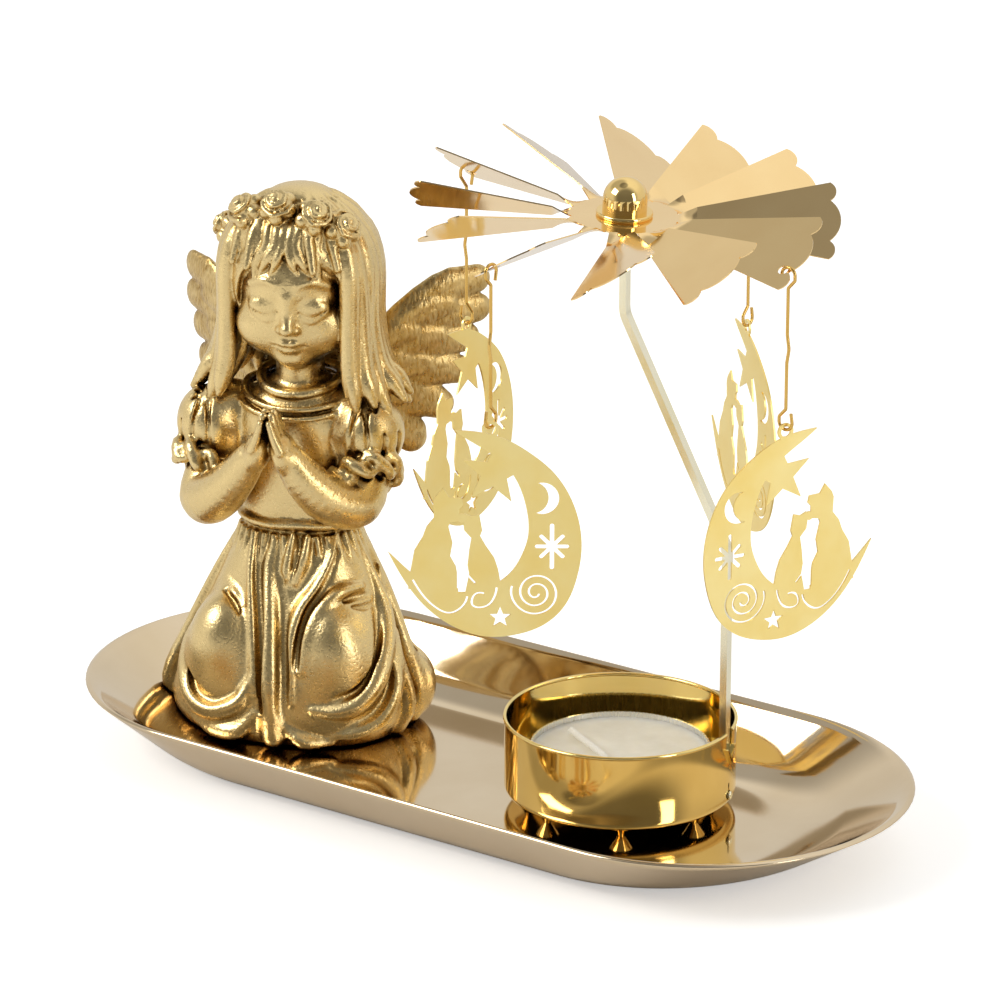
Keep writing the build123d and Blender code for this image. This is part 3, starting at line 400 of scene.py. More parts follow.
# Wick: braided cotton dipped in wax, standing in its disc and bent over onto the wax. The braid's plies
# are about 0.9 mm apart along it.
wick_rest = wax_high + 0.75
wick_lay, wick_radius, ply_height = 2.7, 0.66, 0.08
wick_route = [(*wick_line[0], wax_low), (*wick_line[0], wick_rest - 1.7), (1.55, -7.35, wick_rest - 0.35),
              (0.3, -6.66, wick_rest), (-4.5, -4.0, wick_rest), (-9.0, -1.55, wick_rest),
              (*wick_line[1], wick_rest)]


def flow(points, steps):
    """A smooth line through the points, whose rows may carry a radius after the place."""
    line = np.array(points, float)
    line = np.vstack([2 * line[0] - line[1], line, 2 * line[-1] - line[-2]])
    out = []
    for at in range(1, len(line) - 2):
        a, b, c, d = line[at - 1:at + 3]
        for t in np.linspace(0, 1, steps, endpoint=False):
            out.append(0.5 * (2 * b + (c - a) * t + (2 * a - 5 * b + 4 * c - d) * t * t
                              + (3 * b - a - 3 * c + d) * t ** 3))
    out.append(line[-2])
    return np.array(out)


def tube(line, radius_at, sides):
    """Points and faces of a tube along a line, whose radius depends on the distance along and the turn."""
    ways = np.gradient(line, axis=0)
    ways /= np.linalg.norm(ways, axis=1)[:, None]
    side = np.cross(ways[0], (0.3, 0.9, 0.1))
    gone = 0.0
    points = []
    for at, (middle, way) in enumerate(zip(line, ways)):
        side = side - way * (side @ way)
        side /= np.linalg.norm(side)
        other = np.cross(way, side)
        gone += np.linalg.norm(line[at] - line[at - 1]) if at else 0
        for step in range(sides):
            turn = 2 * math.pi * step / sides
            reach = radius_at(gone, turn)
            points.append(tuple(middle + (side * math.cos(turn) + other * math.sin(turn)) * reach))
    faces = bands(len(line), sides)
    faces.append(tuple(range(sides))[::-1])
    faces.append(tuple((len(line) - 1) * sides + step for step in range(sides)))
    return points, faces


def braid(gone, turn):
    """The wick's radius: three plies wind each way round it."""
    lay = 2 * math.pi * gone / wick_lay
    return wick_radius + ply_height * max(math.cos(3 * turn + 3 * lay), math.cos(3 * turn - 3 * lay))


line = flow(wick_route, 26)
line[:, 0] += hub.x
line[:, 1] += hub.y
points, faces = tube(line, braid, 30)
wick_mesh = new_mesh("wick", points, faces)
cotton, tree, surface, place = new_finish("cotton braid, waxed")
fibres = add_node(tree, "ShaderNodeTexNoise", {"Vector": place, "Scale": 1 / 0.0003, "Detail": 4.0})
tone = add_node(tree, "ShaderNodeValToRGB", {"Fac": fibres.outputs["Fac"]})
ramp_stops(tone, [(0.3, "#E6E1D4"), (0.7, "#F9F7F0")])
fuzz = add_node(tree, "ShaderNodeBump", {
    "Height": fibres.outputs["Fac"], "Strength": 0.5, "Distance": 0.0001,
})
feed(tree, surface, {
    "Base Color": tone.outputs["Color"], "Normal": fuzz.outputs["Normal"], "Roughness": 0.55,
})
wick = show(wick_mesh, "wick", cotton)
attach(wick, "tealight")
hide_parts("tealight_wick")

# Wheel: twelve blades cut and twisted from one thin sheet with a gold mirror coating. The thin sheet isn't
# quite flat, so its blades mirror the room in slow bends.
mirror_sheet = gold(
    "steel sheet, gold mirror coated", ("#F6D498", "#FADA9F"), (0.06, 0.12), (0.02, 1.5, 0.4, 0.0003)
)
refinish("spinner_wheel", mirror_sheet)

# Pivot cap: turned and polished brass, the brightest piece of the wheel. Its spigot is clenched through the
# wheel's middle, and it turns on the post's point.
turned_brass = gold(
    "brass, turned and polished", ("#F3CF84", "#F8D890"), (0.03, 0.06), (0.01, 1.5, 0.4, 0.00002),
    (0.0003, 0.02, 0.00003),
)
refinish("pivot_cap", turned_brass)

# Hooks: thin brass-plated steel wire, bent by hand round a pin. Each hangs loose in the hole of its blade,
# and its plating is duller than the sheet's.
plated_wire = gold(
    "steel wire, brass plated", ("#D9AE5B", "#E6BF70"), (0.16, 0.26), (0.003, 1.5, 0.4, 0.00003)
)
for number in range(1, 5):
    refinish(f"hook_{number}", plated_wire)

# Pendants: etched steel sheet with a pale gold coating. Etching leaves a satin face, so they look soft and
# even beside the wheel.
etched_sheet = gold(
    "steel sheet, etched and pale gold coated", ("#F9DD88", "#FDE8A0"), (0.28, 0.38),
    (0.012, 1.5, 0.4, 0.00025), (0.00025, 0.12, 0.00003),
)
for number in range(1, 5):
    refinish(f"pendant_{number}", etched_sheet)

# Figurine: a kneeling child angel with folded hands, cast in resin in one piece with its dress, hair and
# wreath of roses. It is modelled here as clay is: lumps and rolls are put on, grooves are cut, and each
# joint is smoothed over a few tenths of a millimetre. Its own frame has x to its left, y behind it and z up
# from the tray's floor, in millimetres.
figurine_middle = Vector((-57.9, 6.1, 0.8))
figurine_turn = math.radians(18)
turn_cos, turn_sin = math.cos(figurine_turn), math.sin(figurine_turn)
clay_step = 0.42


def merge(a, b, blend):
    """The union of two distance fields, rounded where they meet."""
    share = np.clip(0.5 + 0.5 * (a - b) / max(blend, 0.01), 0, 1)
    return a * (1 - share) + b * share - blend * share * (1 - share)


class Clay:
    """A block of space, sampled on a grid, that holds the distance to the modelled surface."""

    far, margin = 6.0, 1.5

    def __init__(self, low, high, step):
        self.low = np.array(low, np.float32)
        self.step = step
        self.counts = np.ceil((np.array(high) - low) / step).astype(int) + 1
        self.field = np.full(self.counts, self.far, np.float32)

    def near(self, low, high):
        """The part of the grid in a box, with its coordinates."""
        first = np.clip(np.floor((np.array(low) - self.low) / self.step).astype(int), 0, self.counts)
        last = np.clip(np.ceil((np.array(high) - self.low) / self.step).astype(int) + 1, 0, self.counts)
        axes = [self.low[k] + self.step * np.arange(first[k], last[k], dtype=np.float32) for k in range(3)]
        window = tuple(slice(a, b) for a, b in zip(first, last))
        return window, axes[0][:, None, None], axes[1][None, :, None], axes[2][None, None, :]

    def put(self, shape, blend=0.8):
        """Adds a lump of clay and smooths its edge."""
        away, low, high = shape
        window, x, y, z = self.near(np.array(low) - self.margin - blend, np.array(high) + self.margin + blend)
        if self.field[window].size:
            self.field[window] = merge(self.field[window], away(x, y, z).astype(np.float32), blend)

    def cut(self, shape, blend=0.5):
        """Takes a shape out of the clay."""
        away, low, high = shape
        window, x, y, z = self.near(np.array(low) - self.margin - blend, np.array(high) + self.margin + blend)
        if self.field[window].size:
            self.field[window] = -merge(-self.field[window], away(x, y, z).astype(np.float32), blend)

    def mesh(self, name, ease, to_world):
        """The modelled surface as a mesh, placed in the world."""
        grid = openvdb.FloatGrid(self.far)
        grid.copyFromArray(np.ascontiguousarray(self.field, np.float32))
        points, triangles, quads = grid.convertToPolygons(0.0, ease)
        points = to_world(points * self.step + self.low) * millimetre
        faces = [tuple(int(i) for i in face) for face in list(quads) + list(triangles)]
        surface = bpy.data.meshes.new(name)
        surface.from_pydata(points.tolist(), [], faces)
        surface.update()
        return surface


def lump(middle, radii, turn=(0, 0, 0)):
    """An ellipsoid, turned by degrees about x, y and z."""
    spin = np.array(Euler([math.radians(angle) for angle in turn]).to_matrix())
    middle, radii = np.array(middle, float), np.array(radii, float)

    def away(x, y, z):
        px, py, pz = x - middle[0], y - middle[1], z - middle[2]
        own = [spin[0, k] * px + spin[1, k] * py + spin[2, k] * pz for k in range(3)]
        near = np.sqrt(sum((own[k] / radii[k]) ** 2 for k in range(3))) + 1e-6
        steep = np.sqrt(sum((own[k] / radii[k] ** 2) ** 2 for k in range(3))) + 1e-6
        return near * (near - 1) / steep
    reach = np.sqrt(((spin * radii) ** 2).sum(1))
    return away, middle - reach, middle + reach


def roll(points, steps=4):
    """A tapering roll of clay along places with a radius each."""
    line = flow(points, steps) if len(points) > 2 else np.array(points, float)

    def away(x, y, z):
        best = None
        for a, b in zip(line[:-1], line[1:]):
            way = b[:3] - a[:3]
            length = float(way @ way) + 1e-9
            along = np.clip(((x - a[0]) * way[0] + (y - a[1]) * way[1] + (z - a[2]) * way[2]) / length, 0, 1)
            gap = np.sqrt((x - a[0] - along * way[0]) ** 2 + (y - a[1] - along * way[1]) ** 2
                          + (z - a[2] - along * way[2]) ** 2) - (a[3] + (b[3] - a[3]) * along)
            best = gap if best is None else np.minimum(best, gap)
        return best
    radius = np.abs(line[:, 3:4])
    return away, (line[:, :3] - radius).min(0), (line[:, :3] + radius).max(0)


def taper(points, radius, steps=4):
    """A roll along places, with one radius or with one per place."""
    radii = radius if isinstance(radius, (list, tuple)) else [radius] * len(points)
    return roll([tuple(point) + (size,) for point, size in zip(points, radii)], steps)


casting = Clay((-32, -26, -1.5), (36, 26, 126), clay_step)

# The dress: level by level its height, middle, half width and half depth. Its outline is between an
# ellipse and a rectangle.
dress_squareness = 2.3
dress_levels = flow([
    (-2, -0.6, -0.6, 24.0, 17.0), (0, -0.6, -0.6, 24.8, 17.7), (5, -0.1, -0.6, 26.8, 19.8),
    (10, 0.2, -0.8, 26.8, 19.2), (16, 0.9, -1.0, 24.6, 17.6), (22, 1.0, -0.4, 22.6, 16.2),
    (28, 1.2, 0.4, 20.4, 14.8), (34, 1.2, 1.0, 17.8, 13.0), (40, 1.2, 1.6, 15.2, 11.6),
    (45.5, 0.9, 2.2, 12.4, 10.2), (50, 0.8, 2.2, 12.6, 10.2), (57, 0.9, 2.2, 13.6, 10.6),
    (66, 1.2, 2.2, 15.0, 10.8), (73, 1.5, 1.8, 13.8, 10.4), (77.5, 1.8, 1.2, 9.2, 7.8),
    (81, 1.9, 1.0, 4.0, 4.0),
], 6)


def dress_at(z):
    """The plain dress's middle, half width and half depth at a height."""
    return [np.interp(z, dress_levels[:, 0], dress_levels[:, k]) for k in range(1, 5)]


def dress(x, y, z):
    """Distance to the plain dress, without its folds."""
    xc, yc, half_width, half_depth = dress_at(z)
    across, deep = np.abs((x - xc) / half_width), np.abs((y - yc) / half_depth)
    share = (across ** dress_squareness + deep ** dress_squareness) ** (1 / dress_squareness)
    return (share - 1) * np.minimum(half_width, half_depth) * 0.9


def on_dress(angle, z, out=0.0):
    """A place on the dress at an angle about it, from its front towards its left."""
    xc, yc, half_width, half_depth = dress_at(z)
    side, ahead = math.sin(math.radians(angle)), math.cos(math.radians(angle))
    reach = (abs(side) ** dress_squareness + abs(ahead) ** dress_squareness) ** (-1 / dress_squareness)
    return (xc + (half_width + out) * side * reach, yc - (half_depth + out) * ahead * reach, z)


casting.put((dress, (-29, -21, 0), (31, 22, 80)), 0.5)

# Over it the knees and the skirt's trailing sides, then its raised folds, and then the furrows between them.
casting.put(lump((-12.2, -8.6, 15.5), (9.4, 10.2, 16.5), (14, 4, 0)), 3.0)
casting.put(lump((13.2, -7.6, 16.0), (9.8, 10.2, 16.5), (12, -6, 0)), 3.0)
casting.put(lump((21.6, 6.5, 8.5), (8.8, 8.0, 9.5), (0, -14, 12)), 2.5)
casting.put(lump((-18.4, 5.0, 7.5), (7.6, 9.5, 9.0), (0, 10, -8)), 2.5)
for points, radius in (
    ([(-19.0, -4.5, 27), (-21.6, -6.8, 19.1), (-20.8, -12.3, 13.4), (-18.9, -15.4, 9.6), (-15.1, -18.2, 7.6),
      (-10.6, -19.8, 7.6), (-6.0, -19.8, 10.0), (-3.6, -18.6, 15)], [0.5, 1.5, 2.0, 2.3, 2.4, 2.2, 1.7, 0.5]),
    ([(-1.0, -8.8, 44), (-1.9, -10.2, 38), (-0.3, -14.6, 27.8), (1.0, -18.6, 15.6), (2.2, -20.0, 3.2)],
     [0.5, 1.2, 2.0, 2.6, 2.6]),
    ([(11.3, -3.8, 47), (11.6, -7.4, 40.6), (9.4, -10.8, 35.0), (6.7, -13.3, 30.8), (5.4, -16.0, 25.3),
      (5.3, -18.2, 18), (6.0, -19.4, 11)], [0.6, 1.1, 1.4, 1.5, 1.4, 1.1, 0.4]),
    ([(17.6, -5.1, 34.6), (14.7, -9.2, 34.4), (12.2, -11.4, 32.6), (9.8, -13.7, 29.2), (8.6, -16.1, 24.4),
      (8.0, -18.0, 18)], [0.4, 1.2, 1.4, 1.3, 1.1, 0.4]),
    ([(18.9, 2.5, 37), (20.3, 0.6, 32.1), (22.6, -3.0, 25.8), (23.8, -8.0, 19.6), (23.0, -12.2, 14.6),
      (20.0, -15.8, 10.8), (15.6, -18.0, 9.4), (11.0, -19.0, 9.6)],
     [0.5, 1.4, 1.8, 2.1, 2.2, 2.0, 1.4, 0.4]),
    ([(24.2, -1.0, 24), (25.4, -4.9, 18.0), (26.2, -8.0, 12.0), (24.3, -12.0, 6.6), (20.0, -15.6, 4.2),
      (15, -17.6, 3.4)], [0.4, 1.2, 1.8, 1.8, 1.4, 0.4]),
    ([(-17.0, -15.6, 3.0), (-12.0, -18.6, 2.6), (-6.0, -20.0, 3.4), (-2.4, -19.8, 7.5)],
     [0.6, 1.9, 1.9, 0.4]),
    ([(4.4, -19.8, 5.6), (9.0, -20.0, 2.6), (15.0, -17.6, 2.0)], [0.4, 1.7, 0.5]),
    ([(-6.4, -7.6, 45.5), (-6.2, -10.4, 38), (-4.7, -14.0, 29), (-3.2, -17.2, 20), (-2.4, -19.2, 12)],
     [0.6, 0.8, 0.9, 0.9, 0.6]),
    ([(6.4, -8.2, 45.6), (6.0, -10.0, 41.0), (4.6, -11.4, 36)], [0.9, 1.1, 0.5]),
    ([(3.2, -8.8, 46), (2.4, -10.6, 40), (2.0, -12.6, 34)], [0.7, 0.9, 0.4]),
    ([(26.6, 4.0, 17), (29.0, 6.0, 9.5), (27.0, 3.0, 2.0)], [0.4, 1.5, 0.8]),
    ([(24.4, -2.0, 15), (27.2, 0.6, 9.0), (26.0, -3.0, 2.0)], [0.4, 1.4, 0.8]),
):
    casting.put(taper(points, radius), 1.5)
# The furrows.
for points, radius in (
    ([(-17.6, -8.6, 27), (-18.6, -11.6, 19.7), (-18.0, -15.6, 13.0), (-15.6, -18.6, 10.4),
      (-11.4, -20.2, 9.8), (-7.0, -20.0, 12.4)], [0.4, 0.8, 0.9, 0.9, 0.8, 0.4]),
    ([(-4.4, -8.8, 44), (-4.2, -11.4, 36.5), (-2.3, -15.4, 27.5), (-0.9, -18.4, 18.4), (0.0, -20.4, 9)],
     [0.5, 0.9, 1.1, 1.2, 0.9]),
    ([(1.6, -11.5, 37), (2.3, -13.8, 32.2), (3.5, -17.0, 24.1), (4.4, -19.6, 15.8), (5.0, -21.4, 9.0),
      (8.2, -21.6, 5.4), (13.0, -20.2, 3.6)], [0.4, 0.9, 1.2, 1.3, 1.1, 0.8, 0.4]),
    ([(11.9, -3.2, 46.6), (12.2, -7.6, 40.1), (10.8, -11.0, 35.0), (8.2, -13.6, 30.6), (7.0, -16.2, 25.1),
      (6.8, -18.4, 19)], [0.4, 0.6, 0.8, 0.8, 0.7, 0.4]),
    ([(20.2, -3.0, 31.6), (21.9, -7.0, 24.4), (21.9, -10.8, 18.4), (20.2, -14.6, 14.2), (16.0, -18.0, 12.4)],
     [0.5, 0.8, 0.9, 0.9, 0.4]),
    ([(24.6, -6.8, 21), (25.2, -9.8, 13), (23.0, -13.8, 8.6), (19.0, -17.2, 7.0)], [0.4, 0.7, 0.8, 0.4]),
    ([(-12.8, -8.0, 35.5), (-9.2, -11.3, 34.0), (-7.2, -13.5, 30.6)], [0.4, 0.9, 0.4]),
    ([(-11.8, -10.7, 31.8), (-9.2, -13.0, 30.4), (-7.6, -14.2, 28.4)], [0.4, 0.8, 0.4]),
    ([(14.4, -9.8, 32.2), (17.1, -7.1, 32.6), (19.0, -4.6, 32.3)], [0.4, 0.7, 0.4]),
    ([(16.4, -9.2, 30.7), (18.6, -6.7, 30.4), (20.0, -3.8, 30.4)], [0.3, 0.6, 0.3]),
    ([(-7.9, -6.9, 46.0), (-7.7, -9.7, 39.0)], [0.7, 0.3]),
    ([(8.3, -7.4, 47.0), (7.5, -9.4, 41.0)], [0.8, 0.3]),
    ([(4.8, -8.6, 47.0), (4.2, -10.9, 39.0)], [0.7, 0.3]),
    ([(0.6, -9.2, 46.5), (0.5, -12.2, 38.0)], [0.6, 0.3]),
    ([(25.8, 0.6, 20), (27.6, 0.4, 12), (27.0, -1.6, 4)], [0.4, 0.9, 0.9]),
):
    casting.cut(taper(points, radius), 1.0)
# The pleats round its back.
for step in range(11):
    angle = 82 + step * 19.6
    weight = 1.0 + 0.35 * math.sin(2.7 * step)
    casting.put(taper(
        [on_dress(angle, 44, 0.2), on_dress(angle + 2, 34, 0.4), on_dress(angle - 2, 20, 0.6),
         on_dress(angle + 1, 8, 0.5), on_dress(angle, 1.5, 0.2)],
        [0.5, 0.9 * weight, 1.5 * weight, 1.9 * weight, 1.5]), 1.0)
    casting.cut(taper(
        [on_dress(angle + 9.8, 40, 0.9), on_dress(angle + 9, 26, 1.1), on_dress(angle + 10, 6, 1.3)],
        [0.5, 1.0, 1.3]), 1.2)

# The waist: gathers, and over them the bodice's edge.
for step in range(34):
    angle = step * 360 / 34
    casting.put(taper([on_dress(angle, 46.4, 0.1), on_dress(angle, 42.5, 0.1), on_dress(angle, 39.6, -0.3)],
                      [0.75, 0.6, 0.3], 2), 0.4)
hem = [on_dress(angle, 47.9 + 0.25 * math.sin(math.radians(5 * angle)), 0.4) for angle in range(0, 361, 15)]
casting.put(taper(hem, 1.05, 2), 0.5)
casting.cut(taper([(x, y, 46.2) for x, y, z in hem], 0.55, 2), 0.3)
for start, end, size in (((-4.0, -10.4, 60), (-6.8, -9.3, 50), 0.7), ((8.6, -9.6, 58), (9.6, -8.6, 50), 0.8),
                         ((9.0, -9.6, 71), (8.0, -10.6, 62), 0.8), ((-7.0, -8.9, 70), (-7.6, -9.6, 60), 0.7),
                         ((11.2, -7.6, 71), (11.0, -8.9, 62), 0.7)):
    casting.cut(taper([start, end], [size * 0.5, size]), 0.7)

# Sleeves: puffs gathered at the shoulder, each ending in a ruffle over the elbow. Then the bare forearms.
for side, puff, arm in (
    (-1, (-17.4, -2.2, 67.6), [(-17.0, -3.0, 60, 5.4), (-17.4, -7.4, 52.6, 5.9), (-12.4, -12.4, 55.2, 5.4),
                               (-7.4, -15.8, 60.4, 4.5), (-3.2, -17.9, 66.0, 3.5)]),
    (1, (18.2, -1.8, 68.8), [(18.0, -3.0, 62, 5.6), (17.2, -7.4, 55.2, 6.0), (12.8, -12.6, 56.8, 5.5),
                             (8.8, -16.0, 61.6, 4.5), (6.0, -17.9, 66.6, 3.5)]),
):
    casting.put(lump(puff, (8.0, 7.8, 9.0), (8, side * 12, 0)), 1.8)
    casting.put(lump((puff[0] - side * 3.4, puff[1] + 2.2, puff[2] + 4.4), (6.4, 6.2, 5.2)), 2.0)
    casting.put(roll(arm), 0.9)
    for step in range(7):
        turn = math.radians(-78 + 30 * step)
        top = (puff[0] + side * 2.2 * math.cos(turn), puff[1] - 3.4 * math.sin(turn) - 1.0, puff[2] + 8.2)
        middle = (puff[0] + side * 7.8 * math.cos(turn), puff[1] - 7.8 * math.sin(turn), puff[2] + 0.8)
        foot = (puff[0] + side * 5.8 * math.cos(turn), puff[1] - 6.4 * math.sin(turn) - 0.6, puff[2] - 7.6)
        casting.cut(taper([top, middle], [0.8, 0.3], 3), 0.8)
        casting.cut(taper([middle, foot], [0.25, 1.0], 3), 0.8)
    cuff = Vector((puff[0] + side * 0.6, puff[1] - 3.2, puff[2] - 7.8))
    around = Vector((side * 0.35, -0.55, -0.76)).normalized()
    first = around.cross(Vector((1, 0, 0))).normalized()
    second = around.cross(first)
    for level, waves, spread, size in ((0.0, 8, 6.8, 1.3), (1.9, 7, 6.2, 1.15)):
        ruffle = []
        for turn in np.linspace(0, 2 * math.pi, 57):
            reach = spread + 0.7 * math.sin(waves * turn + level)
            ruffle.append(cuff + (first * math.cos(turn) + second * math.sin(turn)) * reach + around * (
                level + 0.9 * math.cos(waves * turn + level)))
        casting.put(taper(ruffle, size, 1), 1.1)
    band = [cuff - around * 1.9 + (first * math.cos(turn) + second * math.sin(turn)) * 6.4
            for turn in np.linspace(0, 2 * math.pi, 25)]
    casting.cut(taper(band, 0.55, 2), 0.5)

# Hands, laid palm to palm, with the finger ends together.
hands_middle = 1.9
for side in (-1, 1):
    palm = hands_middle + side * 2.7
    casting.put(lump((palm + side * 0.3, -18.6, 68.2), (2.9, 4.0, 4.9), (0, -side * 14, 0)), 0.7)
    for depth, length, size in ((-21.9, 4.6, 0.95), (-20.4, 5.9, 1.08), (-18.7, 6.3, 1.1),
                                (-17.0, 5.5, 1.05)):
        casting.put(roll([(palm + side * 0.5, depth, 69.4, size + 0.25),
                          (hands_middle + side * 1.95, depth - 0.3, 72.4, size),
                          (hands_middle + side * 0.95, depth - 0.5, 71.2 + length, size * 0.82)]), 0.18)
    casting.put(roll([(hands_middle + side * 3.0, -15.2, 66.6, 1.6),
                      (hands_middle + side * 1.5, -14.9, 70.2, 1.2),
                      (hands_middle + side * 0.9, -15.3, 73.0, 1.0)]), 0.3)
casting.cut(roll([(hands_middle, -23.0, 66.0, 0.35), (1.8, -23.4, 72.0, 0.35), (1.8, -22.6, 77.4, 0.4)]), 0.3)

# The neck, and round it the neckline's three cords.
neck_middle = 1.8
casting.put(roll([(1.8, 1.4, 74, 6.0), (1.9, 0.4, 82, 5.3), (2.0, -0.2, 92, 5.4)]), 0.8)
for reach_x, reach_y, low_front, level, size in ((8.8, 8.6, 2.4, 80.0, 1.15), (12.6, 10.9, 2.6, 77.4, 0.7),
                                                 (13.6, 11.7, 3.0, 75.9, 0.65)):
    cord = []
    for turn in np.linspace(0, 2 * math.pi, 37):
        ahead = math.cos(turn)
        cord.append((neck_middle + reach_x * math.sin(turn), 1.6 - reach_y * ahead,
                     level - low_front * max(ahead, 0)))
    casting.put(taper(cord, size, 2), 0.5)

# Head: turned a little to its left and bowed. The face is a plain calm one on a child's usual proportions:
# shut eyes halfway up, a small nose and mouth below.
head_middle = np.array((1.9, -0.6, 102.2))
head_turn, head_bow = math.radians(9), math.radians(11)
face_side = np.array((math.cos(head_turn), math.sin(head_turn), 0))
level_ahead = np.array((math.sin(head_turn), -math.cos(head_turn), 0))
face_ahead = level_ahead * math.cos(head_bow) - np.array((0, 0, 1)) * math.sin(head_bow)
face_up = np.array((0, 0, 1)) * math.cos(head_bow) + level_ahead * math.sin(head_bow)
nod = (math.degrees(head_bow), 0, math.degrees(head_turn))


def on_head(side, ahead, above):
    """A place given from the middle of the head."""
    return tuple(head_middle + face_side * side + face_ahead * ahead + face_up * above)


def head_roll(points, radius, steps=4):
    """A roll along places given from the middle of the head."""
    return taper([on_head(*point) for point in points], radius, steps)


casting.put(lump(head_middle, (12.6, 13.4, 15.0), nod), 0.8)
casting.put(lump(on_head(0, 4.0, -8.0), (12.0, 9.2, 9.0), nod), 2.5)
casting.put(lump(on_head(0, 9.6, -14.0), (3.4, 2.8, 2.6), nod), 2.8)
for side in (-1, 1):
    casting.put(lump(on_head(side * 6.6, 7.0, -7.6), (5.6, 4.8, 5.2), nod), 2.6)
    casting.cut(lump(on_head(side * 5.0, 16.2, 0.2), (4.2, 3.0, 2.6), nod), 2.4)
    casting.put(lump(on_head(side * 5.0, 10.5, -1.3), (3.8, 2.3, 2.5), nod), 1.2)
    casting.put(head_roll([(side * 2.4, 12.3, 4.6), (side * 5.4, 11.6, 5.2), (side * 8.6, 9.4, 3.4)],
                          [0.2, 0.45, 0.2]), 1.8)
    casting.cut(head_roll([(side * 2.0, 12.7, -1.5), (side * 3.4, 13.2, -2.6), (side * 5.1, 13.2, -3.0),
                           (side * 6.8, 12.3, -2.6), (side * 8.3, 11.0, -1.4)],
                          [0.2, 0.45, 0.55, 0.45, 0.2]), 0.15)
    casting.put(head_roll([(side * 2.6, 12.2, -3.0), (side * 5.1, 12.3, -4.0), (side * 7.8, 10.7, -2.8)],
                          [0.3, 0.45, 0.25]), 0.8)
    casting.cut(head_roll([(side * 2.3, 12.9, 0.6), (side * 5.0, 12.9, 1.7), (side * 8.0, 11.0, 0.5)],
                          [0.12, 0.28, 0.12]), 0.5)
casting.put(head_roll([(0, 12.5, 1.2), (0, 13.1, -2.0), (0, 14.3, -4.9)], [0.9, 1.0, 1.3]), 1.8)
casting.put(lump(on_head(0, 14.6, -5.3), (1.5, 1.3, 1.2), nod), 0.8)
for side in (-1, 1):
    casting.put(lump(on_head(side * 1.65, 13.5, -5.7), (1.1, 1.0, 0.95), nod), 0.6)
    casting.cut(lump(on_head(side * 0.85, 14.4, -6.7), (0.45, 0.5, 0.35), nod), 0.3)
casting.put(head_roll([(-3.2, 11.9, -9.7), (-1.2, 13.2, -9.1), (0, 13.1, -9.4), (1.2, 13.2, -9.1),
                       (3.2, 11.9, -9.7)], [0.3, 0.8, 0.75, 0.8, 0.3]), 0.7)
casting.put(head_roll([(-2.5, 11.9, -10.5), (0, 12.8, -11.0), (2.5, 11.9, -10.5)], [0.4, 1.05, 0.4]), 0.7)
casting.cut(head_roll([(-3.6, 12.2, -9.8), (-1.3, 13.8, -10.0), (1.3, 13.8, -10.0), (3.6, 12.2, -9.8)],
                      [0.18, 0.28, 0.28, 0.18]), 0.2)
casting.cut(lump(on_head(0, 14.2, -12.5), (2.4, 1.5, 0.8), nod), 1.2)

# Hair: long locks from the crown, hung all round but for the face, and a fringe parted over the forehead.
hair_middle, hair_radii = np.array((2.1, 0.8, 104.0)), np.array((17.0, 16.8, 18.2))


def on_hair(angle, rise, out=1.0):
    """A place on the hair at an angle about the head from its back towards its left, and a rise."""
    turn, lift = math.radians(angle), math.radians(rise)
    return tuple(hair_middle + hair_radii * out * np.array(
        (math.sin(turn) * math.cos(lift), math.cos(turn) * math.cos(lift), math.sin(lift))))


def cap(x, y, z):
    """The hair's cap over the skull, open for the face."""
    whole = lump(hair_middle, hair_radii * 0.93)[0](x, y, z)
    opening = lump(on_head(0, 13.5, -4.0), (13.4, 14.5, 17.0), nod)[0](x, y, z)
    return np.maximum(whole, -opening)


casting.put((cap, hair_middle - hair_radii, hair_middle + hair_radii), 0.5)
shuffle = np.random.default_rng(11)
for step in range(29):
    angle = -121 + step * 242 / 28
    flare = math.exp(-((abs(angle) - 88) / 30) ** 2)
    sway = shuffle.uniform(-2.5, 2.5)
    length = shuffle.uniform(-1.5, 1.5)
    side, back = math.sin(math.radians(angle)), math.cos(math.radians(angle))
    hang = []
    for level, out in ((96, 0.95), (90, 0.94 + 0.05 * flare), (84, 0.92 + 0.18 * flare),
                       (80 + length, 0.92 + 0.36 * flare), (76.5 + length, 0.92 + 0.54 * flare)):
        hang.append((hair_middle[0] + hair_radii[0] * out * side + 0.15 * sway,
                     hair_middle[1] + hair_radii[1] * out * back * (1 - 0.2 * flare), level))
    crown = [on_hair(angle * 0.9, 80, 0.89), on_hair(angle * 0.95, 58, 0.92), on_hair(angle + sway, 30, 0.95),
             on_hair(angle + sway * 0.5, 5, 0.95)]
    casting.put(taper(crown + hang, [0.9, 1.7, 2.2, 2.3, 2.2, 2.2, 2.2, 2.0, 0.8], 3), 0.25)
for step in range(17):
    angle = -152 + step * 19 + shuffle.uniform(-2, 2)
    casting.put(taper([on_hair(angle * 0.9, 82, 0.98), on_hair(angle, 60, 0.99),
                       on_hair(angle + 2, 38, 0.985), on_hair(angle, 12, 0.97)],
                      [0.5, 0.9, 1.3, 0.8], 3), 0.15)
casting.put(lump(on_hair(0, 90, 0.92), (6.5, 6.5, 2.2)), 1.0)
for side in (-1, 1):
    for reach, ahead, size in ((15.0, -5.6, 1.5), (15.4, -3.0, 1.9), (14.2, -0.4, 2.3)):
        casting.put(roll([
            (neck_middle + side * (reach + out), ahead + back, level, radius)
            for out, back, level, radius in (
                (-1.6, 0.4, 112, size * 0.7), (0, 0, 104, size), (0.2, 0.2, 95, size), (-0.8, 1.0, 87, size),
                (1.6, 0.6, 80, size * 0.8), (3.4, 0.2, 76.4, 0.6))
        ], 3), 0.3)


